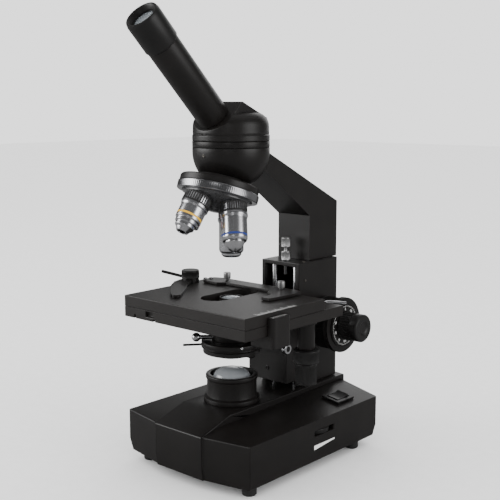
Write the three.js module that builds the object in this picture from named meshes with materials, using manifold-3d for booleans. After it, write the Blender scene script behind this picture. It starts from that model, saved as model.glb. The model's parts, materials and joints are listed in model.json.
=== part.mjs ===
// Monocular laboratory microscope with a mechanical stage, a four-place nosepiece and a lit base.
// Millimetres, +Z up. The optical axis is the Z axis while the pieces are made, with the eyepiece
// towards -Y and the arm at +Y; the finished group is moved so that its origin is the centre of
// the underside of its bounding box.
import * as THREE from 'three';
import { mergeVertices } from 'three/addons/utils/BufferGeometryUtils.js';
import { ConvexGeometry } from 'three/addons/geometries/ConvexGeometry.js';
import Module from 'manifold-3d';

const wasm = await Module();
wasm.setup();

// ---------------------------------------------------------------- driving dimensions

const GAP = 0.3; // clearance between pieces that touch or turn on each other
const ROUND = 24; // sides of the larger turned pieces
const SMALL_ROUND = 16; // sides of the smaller ones

// base casting
const BASE_HALF_WIDTH = 75;
const BASE_SIDE_FRONT = -59;
const BASE_SIDE_REAR = 124.5;
const FACET_HALF_WIDTH = 28.7;
const BASE_FRONT = -69.5;
const BASE_FACET_REAR = 135;
const BASE_REAR = 138.5;
const BASE_FACET_STEP = 1.6;
const FOOT_HEIGHT = 9.3;
const FOOT_RADIUS = 6.4;
const FOOT_FRONT_Y = -45;
const FOOT_REAR_Y = 103;
const FOOT_X = 61.5;
const BASE_UNDERSIDE = FOOT_HEIGHT;
const BASE_CHAMFER_TOP = 20.8;
const BASE_CHAMFER = 2.2;
const DECK_EDGE_Z = 48.5;
const DECK_INNER_X = 30;
const DECK_INNER_FRONT_Y = -48;
const DECK_INNER_FRONT_Z = 52;
const DECK_INNER_REAR_Y = 130;
const DECK_INNER_REAR_Z = 55.2;
const SPINE_TOP = 59.4;
const SPINE_BEND_Y = -33.8;
const BASE_WALL = 6;
const BASE_CAVITY_TOP = 42.5;
const COVER_THICKNESS = 2.5;

// lamp
const LAMP_RADIUS = 22.7;
const LAMP_RIM_RADIUS = 23.7;
const LAMP_COLLAR_RADIUS = 25.4;
const LAMP_TOP = 84.7;
const LAMP_SPIGOT_RADIUS = 17.9;
const COLLECTOR_RADIUS = 19.4;
const COLLECTOR_TOP = 90.2;

// brightness wheel, switch and inlet
const WHEEL_RADIUS = 15;
const WHEEL_PROUD = 0.8;
const WHEEL_Y = 42;
const WHEEL_Z = 36.5;
const WHEEL_THICKNESS = 4.6;
const SWITCH_X = 56;
const SWITCH_Y = 87;
const SWITCH_WIDTH = 15;
const SWITCH_LENGTH = 21;
const SWITCH_TILT = 6;
const INLET_RADIUS = 6.2;
const INLET_Z = 32;

// stand: housing of the focus drive, and the arm on top of it
const HOUSING_HALF_WIDTH = 23;
const HOUSING_FRONT = 68.5;
const HOUSING_REAR = 128;
const HOUSING_TOP = 179;
const HOUSING_WALL = 4.5;
const HOUSING_LID = 4;
const ARM_HALF_WIDTH = 19.2;
const ARM_FRONT = 88.5;
const ARM_REAR = 131.5;
const ARM_INNER_FOLD_Z = 222.3;
const ARM_OUTER_FOLD_Z = 233.5;
const ARM_TIP_Y = 16;
const ARM_TIP_TOP_Z = 290.5;
const ARM_TIP_UNDER_Z = 274.5;

// focus drive
const FOCUS_Y = 104;
const FOCUS_Z = 118.5;
const PINION_RADIUS = 6;
const COARSE_SHAFT_RADIUS = 4.5;
const FINE_SHAFT_RADIUS = 2.4;
const COARSE_KNOB_RADIUS = 25;
const COARSE_KNOB_LENGTH = 21.2;
const TENSION_RING_RADIUS = 26.5;
const TENSION_RING_LENGTH = 4.8;
const DIAL_RADIUS = 19.4;
const DIAL_THICKNESS = 1.6;
const FINE_KNOB_RADIUS = 13.2;
const FINE_KNOB_LENGTH = 21;
const LEVER_RADIUS = 1.7;
const LEVER_REACH = 33;
const GUIDE_X = 13;
const GUIDE_Y = 76.5;
const GUIDE_RADIUS = 3;
const CARRIAGE_HALF_WIDTH = 17.5;
const CARRIAGE_FRONT = 71;
const CARRIAGE_REAR = 91;
const CARRIAGE_BOTTOM = 88;
const CARRIAGE_TOP = 134;
const RACK_HALF_WIDTH = 5;
const STOP_SCREW_RADIUS = 1.6;
const STOP_NUT_RADIUS = 4.2;
const STOP_SCREW_TIP = 165.5;
const STOP_SCREW_TOP = 201;

// stage
const STAGE_LEFT = -70;
const STAGE_RIGHT = 76;
const STAGE_FRONT = -66;
const PLATE_REAR = 39;
const STAGE_BASE_REAR = 66;
const STAGE_UNDERSIDE = 138.3;
const STAGE_SEAM = 148;
const STAGE_TOP = 157.7;
const CONDENSER_RADIUS = 17.6;
const CONDENSER_HOLE_RADIUS = CONDENSER_RADIUS + 1.9; // the condenser rises through it with this much room
const SLOT_RADIUS = 12.5;
const SLOT_HALF_LENGTH = 32;
const SLOT_Y = -2.5;
const CARRIER_HALF_WIDTH = 23.5;
const CARRIER_FRONT = 50;
const CARRIER_BOTTOM = 66.8;
const SCALE_BLOCK_Y = -27.5;
const SCALE_BLOCK_LENGTH = 24;
const SCALE_BLOCK_THICKNESS = 7;

// slide holder on the stage
const HOLDER_THICKNESS = 2.6;
const FINGER_X = -69;
const FINGER_Y = 16.5;
const FINGER_KNOB_RADIUS = 8.2;
const FINGER_KNOB_HEIGHT = 9;
const THUMB_X = [-38, 29];
const THUMB_Y = 35;
const THUMB_RADIUS = 3.4;
const THUMB_HEIGHT = 7.6;

// coaxial stage knobs
const DRIVE_X = 60;
const DRIVE_Y = 33;
const DRIVE_SLEEVE_RADIUS = 7.8;
const Y_KNOB_RADIUS = 11.8;
const Y_KNOB_TOP = 111;
const Y_KNOB_BOTTOM = 98.8;
const X_KNOB_RADIUS = 9.8;
const X_KNOB_BOTTOM = 78.8;

// condenser
const CONDENSER_BOTTOM = 105;
const CONDENSER_TOP = 155.6;
const CONDENSER_LENS_MOUNT = 10.9;
const CONDENSER_LENS_RADIUS = CONDENSER_LENS_MOUNT - 1.5;
const IRIS_RADIUS = 27.5;
const IRIS_BOTTOM = 109;
const IRIS_TOP = 116;
const CONDENSER_ARM_RADIUS = 26;
const CONDENSER_ARM_TOP = 108.6;
const SLIDE_PLATE_BOTTOM = 96;
const SLIDE_PLATE_TOP = 112;
const SLIDE_PLATE_FRONT = 45;
const CENTRING_SCREW_Z = 118.4;
const CONDENSER_KNOB_Z = 102;
const CONDENSER_KNOB_RADIUS = 5.2;
const FILTER_PIVOT_X = CONDENSER_RADIUS + 2.9; // the pin stands clear of the condenser
const FILTER_PIVOT_Y = 3;
const FILTER_RADIUS = 17;
const FILTER_THICKNESS = 2.6;
const FILTER_PIN_RADIUS = 1.4;

// nosepiece and objectives
const TURRET_TILT = THREE.MathUtils.degToRad(18.5);
const TURRET_APEX_Z = 302;
const SHOULDER_DISTANCE = 66;
const MOUNT_TOP = 41; // distances along the turret axis from its apex
const MOUNT_BOTTOM = 50;
const MOUNT_RADIUS = 35;
const TURRET_RADIUS = 36;
const TURRET_RING_BOTTOM = 57.4;
const TURRET_RING_WIDTH = 4.8;
const PIVOT_RADIUS = 5;
const OBJECTIVE_THREAD_RADIUS = 9.8;

// head and eyepiece
const HEAD_RADIUS = 34.1;
const BOWL_CENTRE_Z = 286;
const BOWL_TOP = 289.5;
const RING_TOP = 295;
const HEAD_SHOULDER_Z = 301;
const RIDGE_Z = 329;
const HEAD_BOX_HALF_WIDTH = 20.5;
const TUBE_ORIGIN_Z = 294;
const TUBE_ANGLE = THREE.MathUtils.degToRad(45.2);
const FACE_DISTANCE = 31.1; // along the tube axis, from its origin on the optical axis
const EYEPIECE_BARREL_RADIUS = 11.4;
const TUBE_BORE = EYEPIECE_BARREL_RADIUS + 0.4; // the eyepiece slides in it
const TUBE_RADIUS = TUBE_BORE + 2.2;
const TUBE_END = 115;
const EYEPIECE_RADIUS = TUBE_RADIUS + 1;
const EYEPIECE_BARREL_START = 86;
const EYEPIECE_END = 145;
const LENS_RADIUS = EYEPIECE_BARREL_RADIUS - 2;

// ---------------------------------------------------------------- geometry helpers

const AXIS_X = new THREE.Vector3(1, 0, 0);
const AXIS_Y = new THREE.Vector3(0, 1, 0);
const AXIS_Z = new THREE.Vector3(0, 0, 1);

// A closed geometry as a solid of the boolean library, with its faces turned outwards.
function toSolid(geometry) {
  const bare = new THREE.BufferGeometry();
  bare.setAttribute('position', geometry.getAttribute('position'));
  if (geometry.index) bare.setIndex(geometry.index);
  const merged = mergeVertices(bare, 1e-4);
  const positions = merged.getAttribute('position');
  const kept = [];
  let volume = 0;
  const corners = [new THREE.Vector3(), new THREE.Vector3(), new THREE.Vector3()];
  for (let i = 0; i < merged.index.count; i += 3) {
    const ids = [0, 1, 2].map((k) => merged.index.getX(i + k));
    if (ids[0] === ids[1] || ids[1] === ids[2] || ids[2] === ids[0]) continue;
    kept.push(ids);
    corners.forEach((corner, k) => corner.fromBufferAttribute(positions, ids[k]));
    volume += corners[0].dot(corners[1].clone().cross(corners[2]));
  }
  const outward = volume < 0 ? kept.map(([a, b, c]) => [a, c, b]) : kept;
  const mesh = new wasm.Mesh({
    numProp: 3,
    vertProperties: new Float32Array(positions.array),
    triVerts: new Uint32Array(outward.flat()),
  });
  return new wasm.Manifold(mesh);
}

function toGeometry(solid) {
  const mesh = solid.getMesh();
  const geometry = new THREE.BufferGeometry();
  geometry.setAttribute('position', new THREE.BufferAttribute(new Float32Array(mesh.vertProperties), 3));
  geometry.setIndex(new THREE.BufferAttribute(new Uint32Array(mesh.triVerts), 1));
  geometry.computeVertexNormals();
  return geometry;
}

function join(first, ...rest) {
  return toGeometry(rest.reduce((solid, geometry) => solid.add(toSolid(geometry)), toSolid(first)));
}

function cut(first, ...rest) {
  return toGeometry(rest.reduce((solid, geometry) => solid.subtract(toSolid(geometry)), toSolid(first)));
}

function common(first, second) {
  return toGeometry(toSolid(first).intersect(toSolid(second)));
}

function shapeOf(points) {
  return new THREE.Shape(points.map(([x, y]) => new THREE.Vector2(x, y)));
}

// An outline in the XY plane, thickened from one height to another.
function slab(points, bottom, top) {
  const geometry = new THREE.ExtrudeGeometry(shapeOf(points), { depth: top - bottom, bevelEnabled: false });
  return geometry.translate(0, 0, bottom);
}

// An outline given as (y, z) points, thickened along X.
function sideProfile(points, left, right) {
  const geometry = new THREE.ExtrudeGeometry(shapeOf(points), { depth: right - left, bevelEnabled: false });
  const toSide = new THREE.Matrix4().makeBasis(AXIS_Y, AXIS_Z, AXIS_X);
  return geometry.applyMatrix4(toSide).translate(left, 0, 0);
}

function block(left, right, front, rear, bottom, top) {
  const geometry = new THREE.BoxGeometry(right - left, rear - front, top - bottom);
  return geometry.translate((left + right) / 2, (front + rear) / 2, (bottom + top) / 2);
}

// A solid turned about Z from (radius, height) points, first and last on the axis or closed.
function turned(points, sides = ROUND) {
  const profile = points.map(([radius, height]) => new THREE.Vector2(radius, height));
  const geometry = new THREE.LatheGeometry(profile, sides);
  return geometry.rotateX(Math.PI / 2);
}

function turnedRing(points, sides = ROUND) {
  return turned([...points, points[0]], sides);
}

function rod(radius, bottom, top, sides = SMALL_ROUND) {
  return turned([[0, bottom], [radius, bottom], [radius, top], [0, top]], sides);
}

function tube(inner, outer, bottom, top, sides = SMALL_ROUND) {
  return turnedRing([[inner, bottom], [outer, bottom], [outer, top], [inner, top]], sides);
}

// Points of a circular arc, as (radius, height) or any other pair.
function arc(centreA, centreB, radius, from, to, steps) {
  const points = [];
  for (let i = 0; i <= steps; i += 1) {
    const angle = THREE.MathUtils.degToRad(from + ((to - from) * i) / steps);
    points.push([centreA + radius * Math.cos(angle), centreB + radius * Math.sin(angle)]);
  }
  return points;
}

// A frame whose Z axis points along a direction, with its origin at a point.
function frameAlong(origin, direction) {
  const turn = new THREE.Quaternion().setFromUnitVectors(AXIS_Z, direction.clone().normalize());
  return new THREE.Matrix4().compose(origin, turn, new THREE.Vector3(1, 1, 1));
}

// A rod between two points.
function rodBetween(start, end, radius, sides = SMALL_ROUND) {
  const direction = end.clone().sub(start);
  return rod(radius, 0, direction.length(), sides).applyMatrix4(frameAlong(start, direction));
}

// The outline of a convex polygon moved inwards by a distance.
function inset(points, distance) {
  const count = points.length;
  const lines = points.map((point, i) => {
    const next = points[(i + 1) % count];
    const length = Math.hypot(next[0] - point[0], next[1] - point[1]);
    const normal = [-(next[1] - point[1]) / length, (next[0] - point[0]) / length];
    return { normal, offset: normal[0] * point[0] + normal[1] * point[1] + distance };
  });
  return points.map((_, i) => {
    const a = lines[(i + count - 1) % count];
    const b = lines[i];
    const det = a.normal[0] * b.normal[1] - a.normal[1] * b.normal[0];
    const x = (a.offset * b.normal[1] - a.normal[1] * b.offset) / det;
    const y = (a.normal[0] * b.offset - a.offset * b.normal[0]) / det;
    return [x, y];
  });
}

function hull(points) {
  return new ConvexGeometry(points.map(([x, y, z]) => new THREE.Vector3(x, y, z)));
}

function mirrored(points) {
  return [...points, ...points.map(([x, ...rest]) => [-x, ...rest])];
}

// ---------------------------------------------------------------- materials

function material(color, roughness, metalness) {
  return new THREE.MeshStandardMaterial({ color, roughness, metalness });
}

const blackPaint = () => material(0x2b2827, 0.45, 0.1);
const stagePaint = () => material(0x35302e, 0.5, 0.1);
const blackPlastic = () => material(0x191919, 0.5, 0);
const blackMetal = () => material(0x1d1c1c, 0.35, 0.6);
const chrome = () => material(0xd8d8da, 0.18, 1);
const satinSteel = () => material(0xb4b4b6, 0.35, 0.9);
const rubber = () => material(0x141414, 0.85, 0);
const glass = () => material(0xdfe6ea, 0.05, 0);
const frostedGlass = () => material(0xe9ebec, 0.4, 0);

function piece(name, geometry, surface) {
  const mesh = new THREE.Mesh(geometry, surface);
  mesh.name = name;
  return mesh;
}

// ---------------------------------------------------------------- base

// The base's plan, without the raised panels at the front and the rear.
function baseOutline() {
  const right = [
    [FACET_HALF_WIDTH, BASE_FRONT + BASE_FACET_STEP],
    [BASE_HALF_WIDTH, BASE_SIDE_FRONT],
    [BASE_HALF_WIDTH, BASE_SIDE_REAR],
    [FACET_HALF_WIDTH, BASE_FACET_REAR - BASE_FACET_STEP],
    [0, BASE_REAR - BASE_FACET_STEP],
  ];
  const left = right.slice(0, -1).map(([x, y]) => [-x, y]).reverse();
  return [...right, ...left];
}

function atHeight(points, height) {
  return points.map(([x, y]) => [x, y, height]);
}

const deckSlope = Math.atan((DECK_INNER_REAR_Z - DECK_EDGE_Z) / (BASE_HALF_WIDTH - DECK_INNER_X));

// The frame of the switch, lying on the sloping deck.
function switchFrame() {
  const height = DECK_EDGE_Z + (BASE_HALF_WIDTH - SWITCH_X) * Math.tan(deckSlope);
  return new THREE.Matrix4().makeRotationY(deckSlope).setPosition(SWITCH_X, SWITCH_Y, height);
}

const switchHalf = [SWITCH_WIDTH / 2, SWITCH_LENGTH / 2];
const wheelX = BASE_HALF_WIDTH + WHEEL_PROUD - WHEEL_RADIUS;

function baseBody() {
  const outline = baseOutline();
  const tray = hull([
    ...atHeight(inset(outline, BASE_CHAMFER), BASE_UNDERSIDE),
    ...atHeight(outline, BASE_CHAMFER_TOP),
    ...atHeight(outline, DECK_EDGE_Z),
    ...mirrored([
      [DECK_INNER_X, DECK_INNER_FRONT_Y, DECK_INNER_FRONT_Z],
      [DECK_INNER_X, DECK_INNER_REAR_Y, DECK_INNER_REAR_Z],
    ]),
  ]);
  const spineRing = (chamfer) => mirrored([
    [FACET_HALF_WIDTH, BASE_FRONT + chamfer],
    [FACET_HALF_WIDTH, BASE_FACET_REAR - chamfer],
    [0, BASE_REAR - chamfer],
  ]);
  const spine = hull([
    ...atHeight(spineRing(BASE_CHAMFER), BASE_UNDERSIDE),
    ...atHeight(spineRing(0), BASE_CHAMFER_TOP),
    ...mirrored([
      [FACET_HALF_WIDTH, BASE_FRONT, DECK_EDGE_Z],
      [FACET_HALF_WIDTH, SPINE_BEND_Y, SPINE_TOP],
      [FACET_HALF_WIDTH, BASE_FACET_REAR, SPINE_TOP],
      [0, BASE_REAR, SPINE_TOP],
    ]),
  ]);
  const cavity = slab(inset(outline, BASE_WALL), 0, BASE_CAVITY_TOP);
  const lampHole = rod(LAMP_SPIGOT_RADIUS + GAP, 0, SPINE_TOP + 5, ROUND);
  const slotHalf = WHEEL_THICKNESS / 2 + GAP;
  const wheelSlot = block(
    BASE_HALF_WIDTH - 2 * BASE_WALL,
    BASE_HALF_WIDTH + 5,
    WHEEL_Y - WHEEL_RADIUS + 1,
    WHEEL_Y + WHEEL_RADIUS - 1,
    WHEEL_Z - slotHalf,
    WHEEL_Z + slotHalf,
  );
  const [halfX, halfY] = switchHalf;
  const switchHole = block(-halfX - GAP, halfX + GAP, -halfY - GAP, halfY + GAP, -20, 10);
  const inletHole = rod(INLET_RADIUS + GAP, -30, 30).applyMatrix4(
    frameAlong(new THREE.Vector3(0, BASE_REAR, INLET_Z), AXIS_Y),
  );
  return cut(
    join(tray, spine),
    cavity,
    lampHole,
    wheelSlot,
    switchHole.applyMatrix4(switchFrame()),
    inletHole,
  );
}

function bottomCover() {
  const bottom = BASE_UNDERSIDE + GAP;
  return slab(inset(baseOutline(), BASE_WALL + GAP), bottom, bottom + COVER_THICKNESS);
}

function rubberFoot(x, y) {
  const top = FOOT_HEIGHT;
  const foot = turned(
    [[0, 0], [FOOT_RADIUS - 0.8, 0], [FOOT_RADIUS, 0.8], [FOOT_RADIUS, top - 1], [FOOT_RADIUS - 1, top], [0, top]],
    SMALL_ROUND,
  );
  return foot.translate(x, y, 0);
}

function lampHousing() {
  const foot = SPINE_TOP + GAP;
  const bore = COLLECTOR_RADIUS + GAP;
  const seat = LAMP_TOP - 8.7;
  return turnedRing([
    [LAMP_SPIGOT_RADIUS - 2.5, foot - 13],
    [LAMP_SPIGOT_RADIUS, foot - 13],
    [LAMP_SPIGOT_RADIUS, foot],
    [LAMP_COLLAR_RADIUS, foot],
    [LAMP_COLLAR_RADIUS, foot + 4],
    [LAMP_RADIUS, foot + 5.2],
    [LAMP_RADIUS, LAMP_TOP - 4.2],
    [LAMP_RIM_RADIUS, LAMP_TOP - 3.6],
    [LAMP_RIM_RADIUS, LAMP_TOP - 0.6],
    [LAMP_RIM_RADIUS - 0.6, LAMP_TOP],
    [bore, LAMP_TOP],
    [bore, seat],
    [LAMP_SPIGOT_RADIUS - 2.5, seat],
  ]);
}

function collectorLens() {
  const seat = LAMP_TOP - 8.7 + GAP;
  const edge = LAMP_TOP - 4;
  const rise = COLLECTOR_TOP - edge;
  const crown = COLLECTOR_RADIUS - 1.4;
  const dome = [1, 0.85, 0.65, 0.45, 0.25].map((share) => [
    crown * share,
    edge + rise * Math.sqrt(1 - share * share),
  ]);
  return turned([[0, seat], [COLLECTOR_RADIUS, seat], [COLLECTOR_RADIUS, edge - 1], ...dome, [0, COLLECTOR_TOP]]);
}

function ledBoard() {
  const bottom = BASE_UNDERSIDE + COVER_THICKNESS + 2 * GAP;
  return turned(
    [[0, bottom], [15, bottom], [15, bottom + 12], [4, bottom + 12], [4, bottom + 14], [0, bottom + 16]],
    SMALL_ROUND,
  );
}

function brightnessWheel() {
  const half = WHEEL_THICKNESS / 2;
  return turned([
    [0, WHEEL_Z - half - 3],
    [4, WHEEL_Z - half - 3],
    [4, WHEEL_Z - half],
    [WHEEL_RADIUS - 0.6, WHEEL_Z - half],
    [WHEEL_RADIUS, WHEEL_Z - half + 0.6],
    [WHEEL_RADIUS, WHEEL_Z + half - 0.6],
    [WHEEL_RADIUS - 0.6, WHEEL_Z + half],
    [0, WHEEL_Z + half],
  ]).translate(wheelX, WHEEL_Y, 0);
}

function switchBezel() {
  const [halfX, halfY] = switchHalf;
  const wall = 1.1;
  const flange = join(
    block(-halfX - 2.4, halfX + 2.4, -halfY - 2.2, halfY + 2.2, GAP, 2.6),
    block(-halfX, halfX, -halfY, halfY, -9, 1),
  );
  const opening = block(-halfX + wall, halfX - wall, -halfY + wall, halfY - wall, -12, 6);
  return cut(flange, opening).applyMatrix4(switchFrame());
}

function switchRocker() {
  const halfX = switchHalf[0] - 1.1 - GAP;
  const halfY = switchHalf[1] - 1.1 - 4 * GAP;
  const outline = [[-halfY, -3], [halfY, -3], [halfY, 4], [0, 2.4], [-halfY, 4]];
  const rocker = sideProfile(outline, -halfX, halfX);
  rocker.rotateX(THREE.MathUtils.degToRad(SWITCH_TILT));
  return rocker.applyMatrix4(switchFrame());
}

function powerInlet() {
  const socket = turned(
    [
      [0, -14],
      [INLET_RADIUS, -14],
      [INLET_RADIUS, -0.8],
      [3.4, -0.8],
      [3.4, -10],
      [1, -10],
      [1, -2],
      [0, -2],
    ],
    SMALL_ROUND,
  );
  return socket.applyMatrix4(frameAlong(new THREE.Vector3(0, BASE_REAR, INLET_Z), AXIS_Y));
}

function baseGroup() {
  const group = new THREE.Group();
  group.add(piece('base_body', baseBody(), blackPaint()));
  group.add(piece('bottom_cover', bottomCover(), blackMetal()));
  const feet = [
    [-FOOT_X, FOOT_FRONT_Y],
    [FOOT_X, FOOT_FRONT_Y],
    [-FOOT_X, FOOT_REAR_Y],
    [FOOT_X, FOOT_REAR_Y],
  ];
  feet.forEach(([x, y], i) => group.add(piece(`rubber_foot_${i + 1}`, rubberFoot(x, y), rubber())));
  group.add(piece('lamp_housing', lampHousing(), blackPaint()));
  group.add(piece('collector_lens', collectorLens(), frostedGlass()));
  group.add(piece('led_board', ledBoard(), satinSteel()));
  group.add(piece('brightness_wheel', brightnessWheel(), blackPlastic()));
  group.add(piece('switch_bezel', switchBezel(), blackPlastic()));
  group.add(piece('switch_rocker', switchRocker(), blackPlastic()));
  group.add(piece('power_inlet', powerInlet(), blackPlastic()));
  return group;
}

// ---------------------------------------------------------------- stand and focus drive

function alongX(geometry) {
  const place = new THREE.Matrix4().makeBasis(AXIS_Y, AXIS_Z, AXIS_X).setPosition(0, FOCUS_Y, FOCUS_Z);
  return geometry.applyMatrix4(place);
}

function focusHousing() {
  const inner = HOUSING_HALF_WIDTH - HOUSING_WALL;
  const shell = block(
    -HOUSING_HALF_WIDTH,
    HOUSING_HALF_WIDTH,
    HOUSING_FRONT,
    HOUSING_REAR,
    SPINE_TOP + GAP,
    HOUSING_TOP,
  );
  const hollow = block(-inner, inner, 0, HOUSING_REAR - HOUSING_WALL, 0, HOUSING_TOP - HOUSING_LID);
  const shaftBore = alongX(rod(COARSE_SHAFT_RADIUS + GAP, -50, 50));
  const screwBore = rod(STOP_SCREW_RADIUS + GAP, 150, 200, 12).translate(0, GUIDE_Y, 0);
  return cut(shell, hollow, shaftBore, screwBore);
}

function armBody() {
  const side = [
    [ARM_FRONT, HOUSING_TOP + GAP],
    [ARM_REAR, HOUSING_TOP + GAP],
    [ARM_REAR, ARM_OUTER_FOLD_Z],
    [ARM_TIP_Y, ARM_TIP_TOP_Z],
    [ARM_TIP_Y, ARM_TIP_UNDER_Z],
    [ARM_FRONT, ARM_INNER_FOLD_Z],
  ];
  const bowlSpace = turned([
    [0, BOWL_CENTRE_Z - HEAD_RADIUS - GAP],
    ...arc(0, BOWL_CENTRE_Z, HEAD_RADIUS + GAP, -80, 0, 12),
    [HEAD_RADIUS + GAP, HEAD_SHOULDER_Z],
    [0, HEAD_SHOULDER_Z],
  ]);
  const overRing = block(-60, 60, -60, 60, BOWL_TOP, HEAD_SHOULDER_Z);
  return cut(sideProfile(side, -ARM_HALF_WIDTH, ARM_HALF_WIDTH), bowlSpace, overRing);
}

function guideRod(x) {
  return rod(GUIDE_RADIUS, SPINE_TOP + 2 * GAP, HOUSING_TOP - HOUSING_LID - GAP, 16).translate(x, GUIDE_Y, 0);
}

function stopScrew() {
  const seat = HOUSING_TOP + GAP;
  return turned(
    [
      [0, STOP_SCREW_TIP],
      [STOP_SCREW_RADIUS, STOP_SCREW_TIP],
      [STOP_SCREW_RADIUS, seat],
      [STOP_NUT_RADIUS, seat],
      [STOP_NUT_RADIUS, seat + 8.6],
      [STOP_SCREW_RADIUS, seat + 8.6],
      [STOP_SCREW_RADIUS, STOP_SCREW_TOP - 8.8],
      [STOP_NUT_RADIUS, STOP_SCREW_TOP - 8.8],
      [STOP_NUT_RADIUS, STOP_SCREW_TOP],
      [0, STOP_SCREW_TOP],
    ],
    16,
  ).translate(0, GUIDE_Y, 0);
}

const knobStart = HOUSING_HALF_WIDTH + GAP;
const tensionStart = knobStart + COARSE_KNOB_LENGTH + GAP;
const dialStart = tensionStart + TENSION_RING_LENGTH + GAP;
const fineStart = dialStart + DIAL_THICKNESS;

// The hollow shaft of the coarse drive, with its pinion, from the left knob to the right one.
function coarseShaft() {
  const half = HOUSING_HALF_WIDTH;
  const root = -knobStart - 1;
  const bore = FINE_SHAFT_RADIUS + GAP;
  return alongX(
    turnedRing(
      [
        [bore, root],
        [COARSE_SHAFT_RADIUS, root],
        [COARSE_SHAFT_RADIUS, -RACK_HALF_WIDTH],
        [PINION_RADIUS - GAP, -RACK_HALF_WIDTH],
        [PINION_RADIUS - GAP, RACK_HALF_WIDTH],
        [COARSE_SHAFT_RADIUS, RACK_HALF_WIDTH],
        [COARSE_SHAFT_RADIUS, half],
        [bore, half],
      ],
      SMALL_ROUND,
    ),
  );
}

function coarseKnob(side) {
  const bore = FINE_SHAFT_RADIUS + GAP;
  const end = knobStart + COARSE_KNOB_LENGTH;
  const knob = turnedRing([
    [bore, knobStart],
    [9, knobStart],
    [9, knobStart + 3],
    [COARSE_KNOB_RADIUS - 0.8, knobStart + 3],
    [COARSE_KNOB_RADIUS, knobStart + 3.8],
    [COARSE_KNOB_RADIUS, end - 0.8],
    [COARSE_KNOB_RADIUS - 0.8, end],
    [bore, end],
  ]);
  return alongX(side < 0 ? knob.scale(1, 1, -1) : knob);
}

function fineKnob(side) {
  const end = fineStart + FINE_KNOB_LENGTH;
  const knob = turned([
    [0, fineStart],
    [FINE_KNOB_RADIUS - 0.5, fineStart],
    [FINE_KNOB_RADIUS, fineStart + 0.5],
    [FINE_KNOB_RADIUS, end - 1.2],
    [FINE_KNOB_RADIUS - 1.2, end],
    [7, end],
    [5, end - 1.2],
    [0, end - 1.2],
  ]);
  return alongX(side < 0 ? knob.scale(1, 1, -1) : knob);
}

function fineDial() {
  return alongX(tube(FINE_SHAFT_RADIUS + GAP, DIAL_RADIUS, dialStart, fineStart - GAP, ROUND));
}

function fineShaft() {
  return alongX(rod(FINE_SHAFT_RADIUS, -fineStart - 1, fineStart - GAP, 12));
}

// The friction ring beside the right-hand coarse knob, with the rod that turns it.
function tensionRing() {
  const bore = FINE_SHAFT_RADIUS + GAP;
  const end = tensionStart + TENSION_RING_LENGTH;
  const ring = alongX(
    turnedRing([
      [bore, tensionStart],
      [TENSION_RING_RADIUS - 0.7, tensionStart],
      [TENSION_RING_RADIUS, tensionStart + 0.7],
      [TENSION_RING_RADIUS, end - 0.7],
      [TENSION_RING_RADIUS - 0.7, end],
      [bore, end],
    ]),
  );
  const height = FOCUS_Z + DIAL_RADIUS + LEVER_RADIUS + GAP;
  const x = end + LEVER_RADIUS - 0.6;
  const start = new THREE.Vector3(x, FOCUS_Y + 1, height);
  const tip = new THREE.Vector3(x, FOCUS_Y - LEVER_REACH, height + 6);
  return join(ring, rodBetween(start, tip, LEVER_RADIUS, 12));
}

function focusCarriage() {
  const body = block(
    -CARRIAGE_HALF_WIDTH,
    CARRIAGE_HALF_WIDTH,
    CARRIAGE_FRONT,
    CARRIAGE_REAR,
    CARRIAGE_BOTTOM,
    CARRIAGE_TOP,
  );
  const bores = [-GUIDE_X, GUIDE_X].map((x) => rod(GUIDE_RADIUS + GAP, 0, 200, 16).translate(x, GUIDE_Y, 0));
  const rack = block(
    -RACK_HALF_WIDTH,
    RACK_HALF_WIDTH,
    CARRIAGE_REAR - 1,
    FOCUS_Y - PINION_RADIUS,
    CARRIAGE_BOTTOM - 6,
    CARRIAGE_TOP + 1,
  );
  return cut(join(body, rack), ...bores);
}

function standGroup() {
  const group = new THREE.Group();
  group.add(piece('focus_housing', focusHousing(), blackPaint()));
  group.add(piece('arm', armBody(), blackPaint()));
  group.add(piece('guide_rod_left', guideRod(-GUIDE_X), chrome()));
  group.add(piece('guide_rod_right', guideRod(GUIDE_X), chrome()));
  group.add(piece('stop_screw', stopScrew(), satinSteel()));
  group.add(piece('tension_ring', tensionRing(), blackMetal()));
  group.add(piece('fine_dial', fineDial(), blackMetal()));
  group.add(piece('coarse_knob_left', join(coarseKnob(-1), coarseShaft()), blackPlastic()));
  group.add(piece('coarse_knob_right', coarseKnob(1), blackPlastic()));
  group.add(piece('fine_knob_left', join(fineKnob(-1), fineShaft()), blackPlastic()));
  group.add(piece('fine_knob_right', fineKnob(1), blackPlastic()));
  group.add(piece('focus_carriage', focusCarriage(), blackMetal()));
  return group;
}

// ---------------------------------------------------------------- stage

function stageCarrier() {
  const body = block(
    -CARRIER_HALF_WIDTH,
    CARRIER_HALF_WIDTH,
    CARRIER_FRONT,
    HOUSING_FRONT - GAP,
    CARRIER_BOTTOM,
    STAGE_UNDERSIDE - GAP,
  );
  const tongue = block(-9, 9, HOUSING_FRONT - 1, CARRIAGE_FRONT - GAP, CARRIAGE_BOTTOM + 4, CARRIAGE_TOP - 4);
  return join(body, tongue);
}

function stageBase() {
  const bottom = STAGE_UNDERSIDE;
  const plate = block(STAGE_LEFT, STAGE_RIGHT, STAGE_FRONT, STAGE_BASE_REAR, bottom, STAGE_SEAM - GAP);
  const slit = (x, width, top) => block(x, x + width, STAGE_FRONT - 1, STAGE_FRONT + 6, 100, top);
  const recess = block(-42, -33, STAGE_FRONT - 1, STAGE_FRONT + 3, bottom + 3.5, bottom + 8);
  return cut(
    plate,
    rod(CONDENSER_HOLE_RADIUS, 100, 200, ROUND),
    slit(-57, 1.6, bottom + 3.5),
    slit(-33, 2.6, bottom + 2),
    recess,
  );
}

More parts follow.
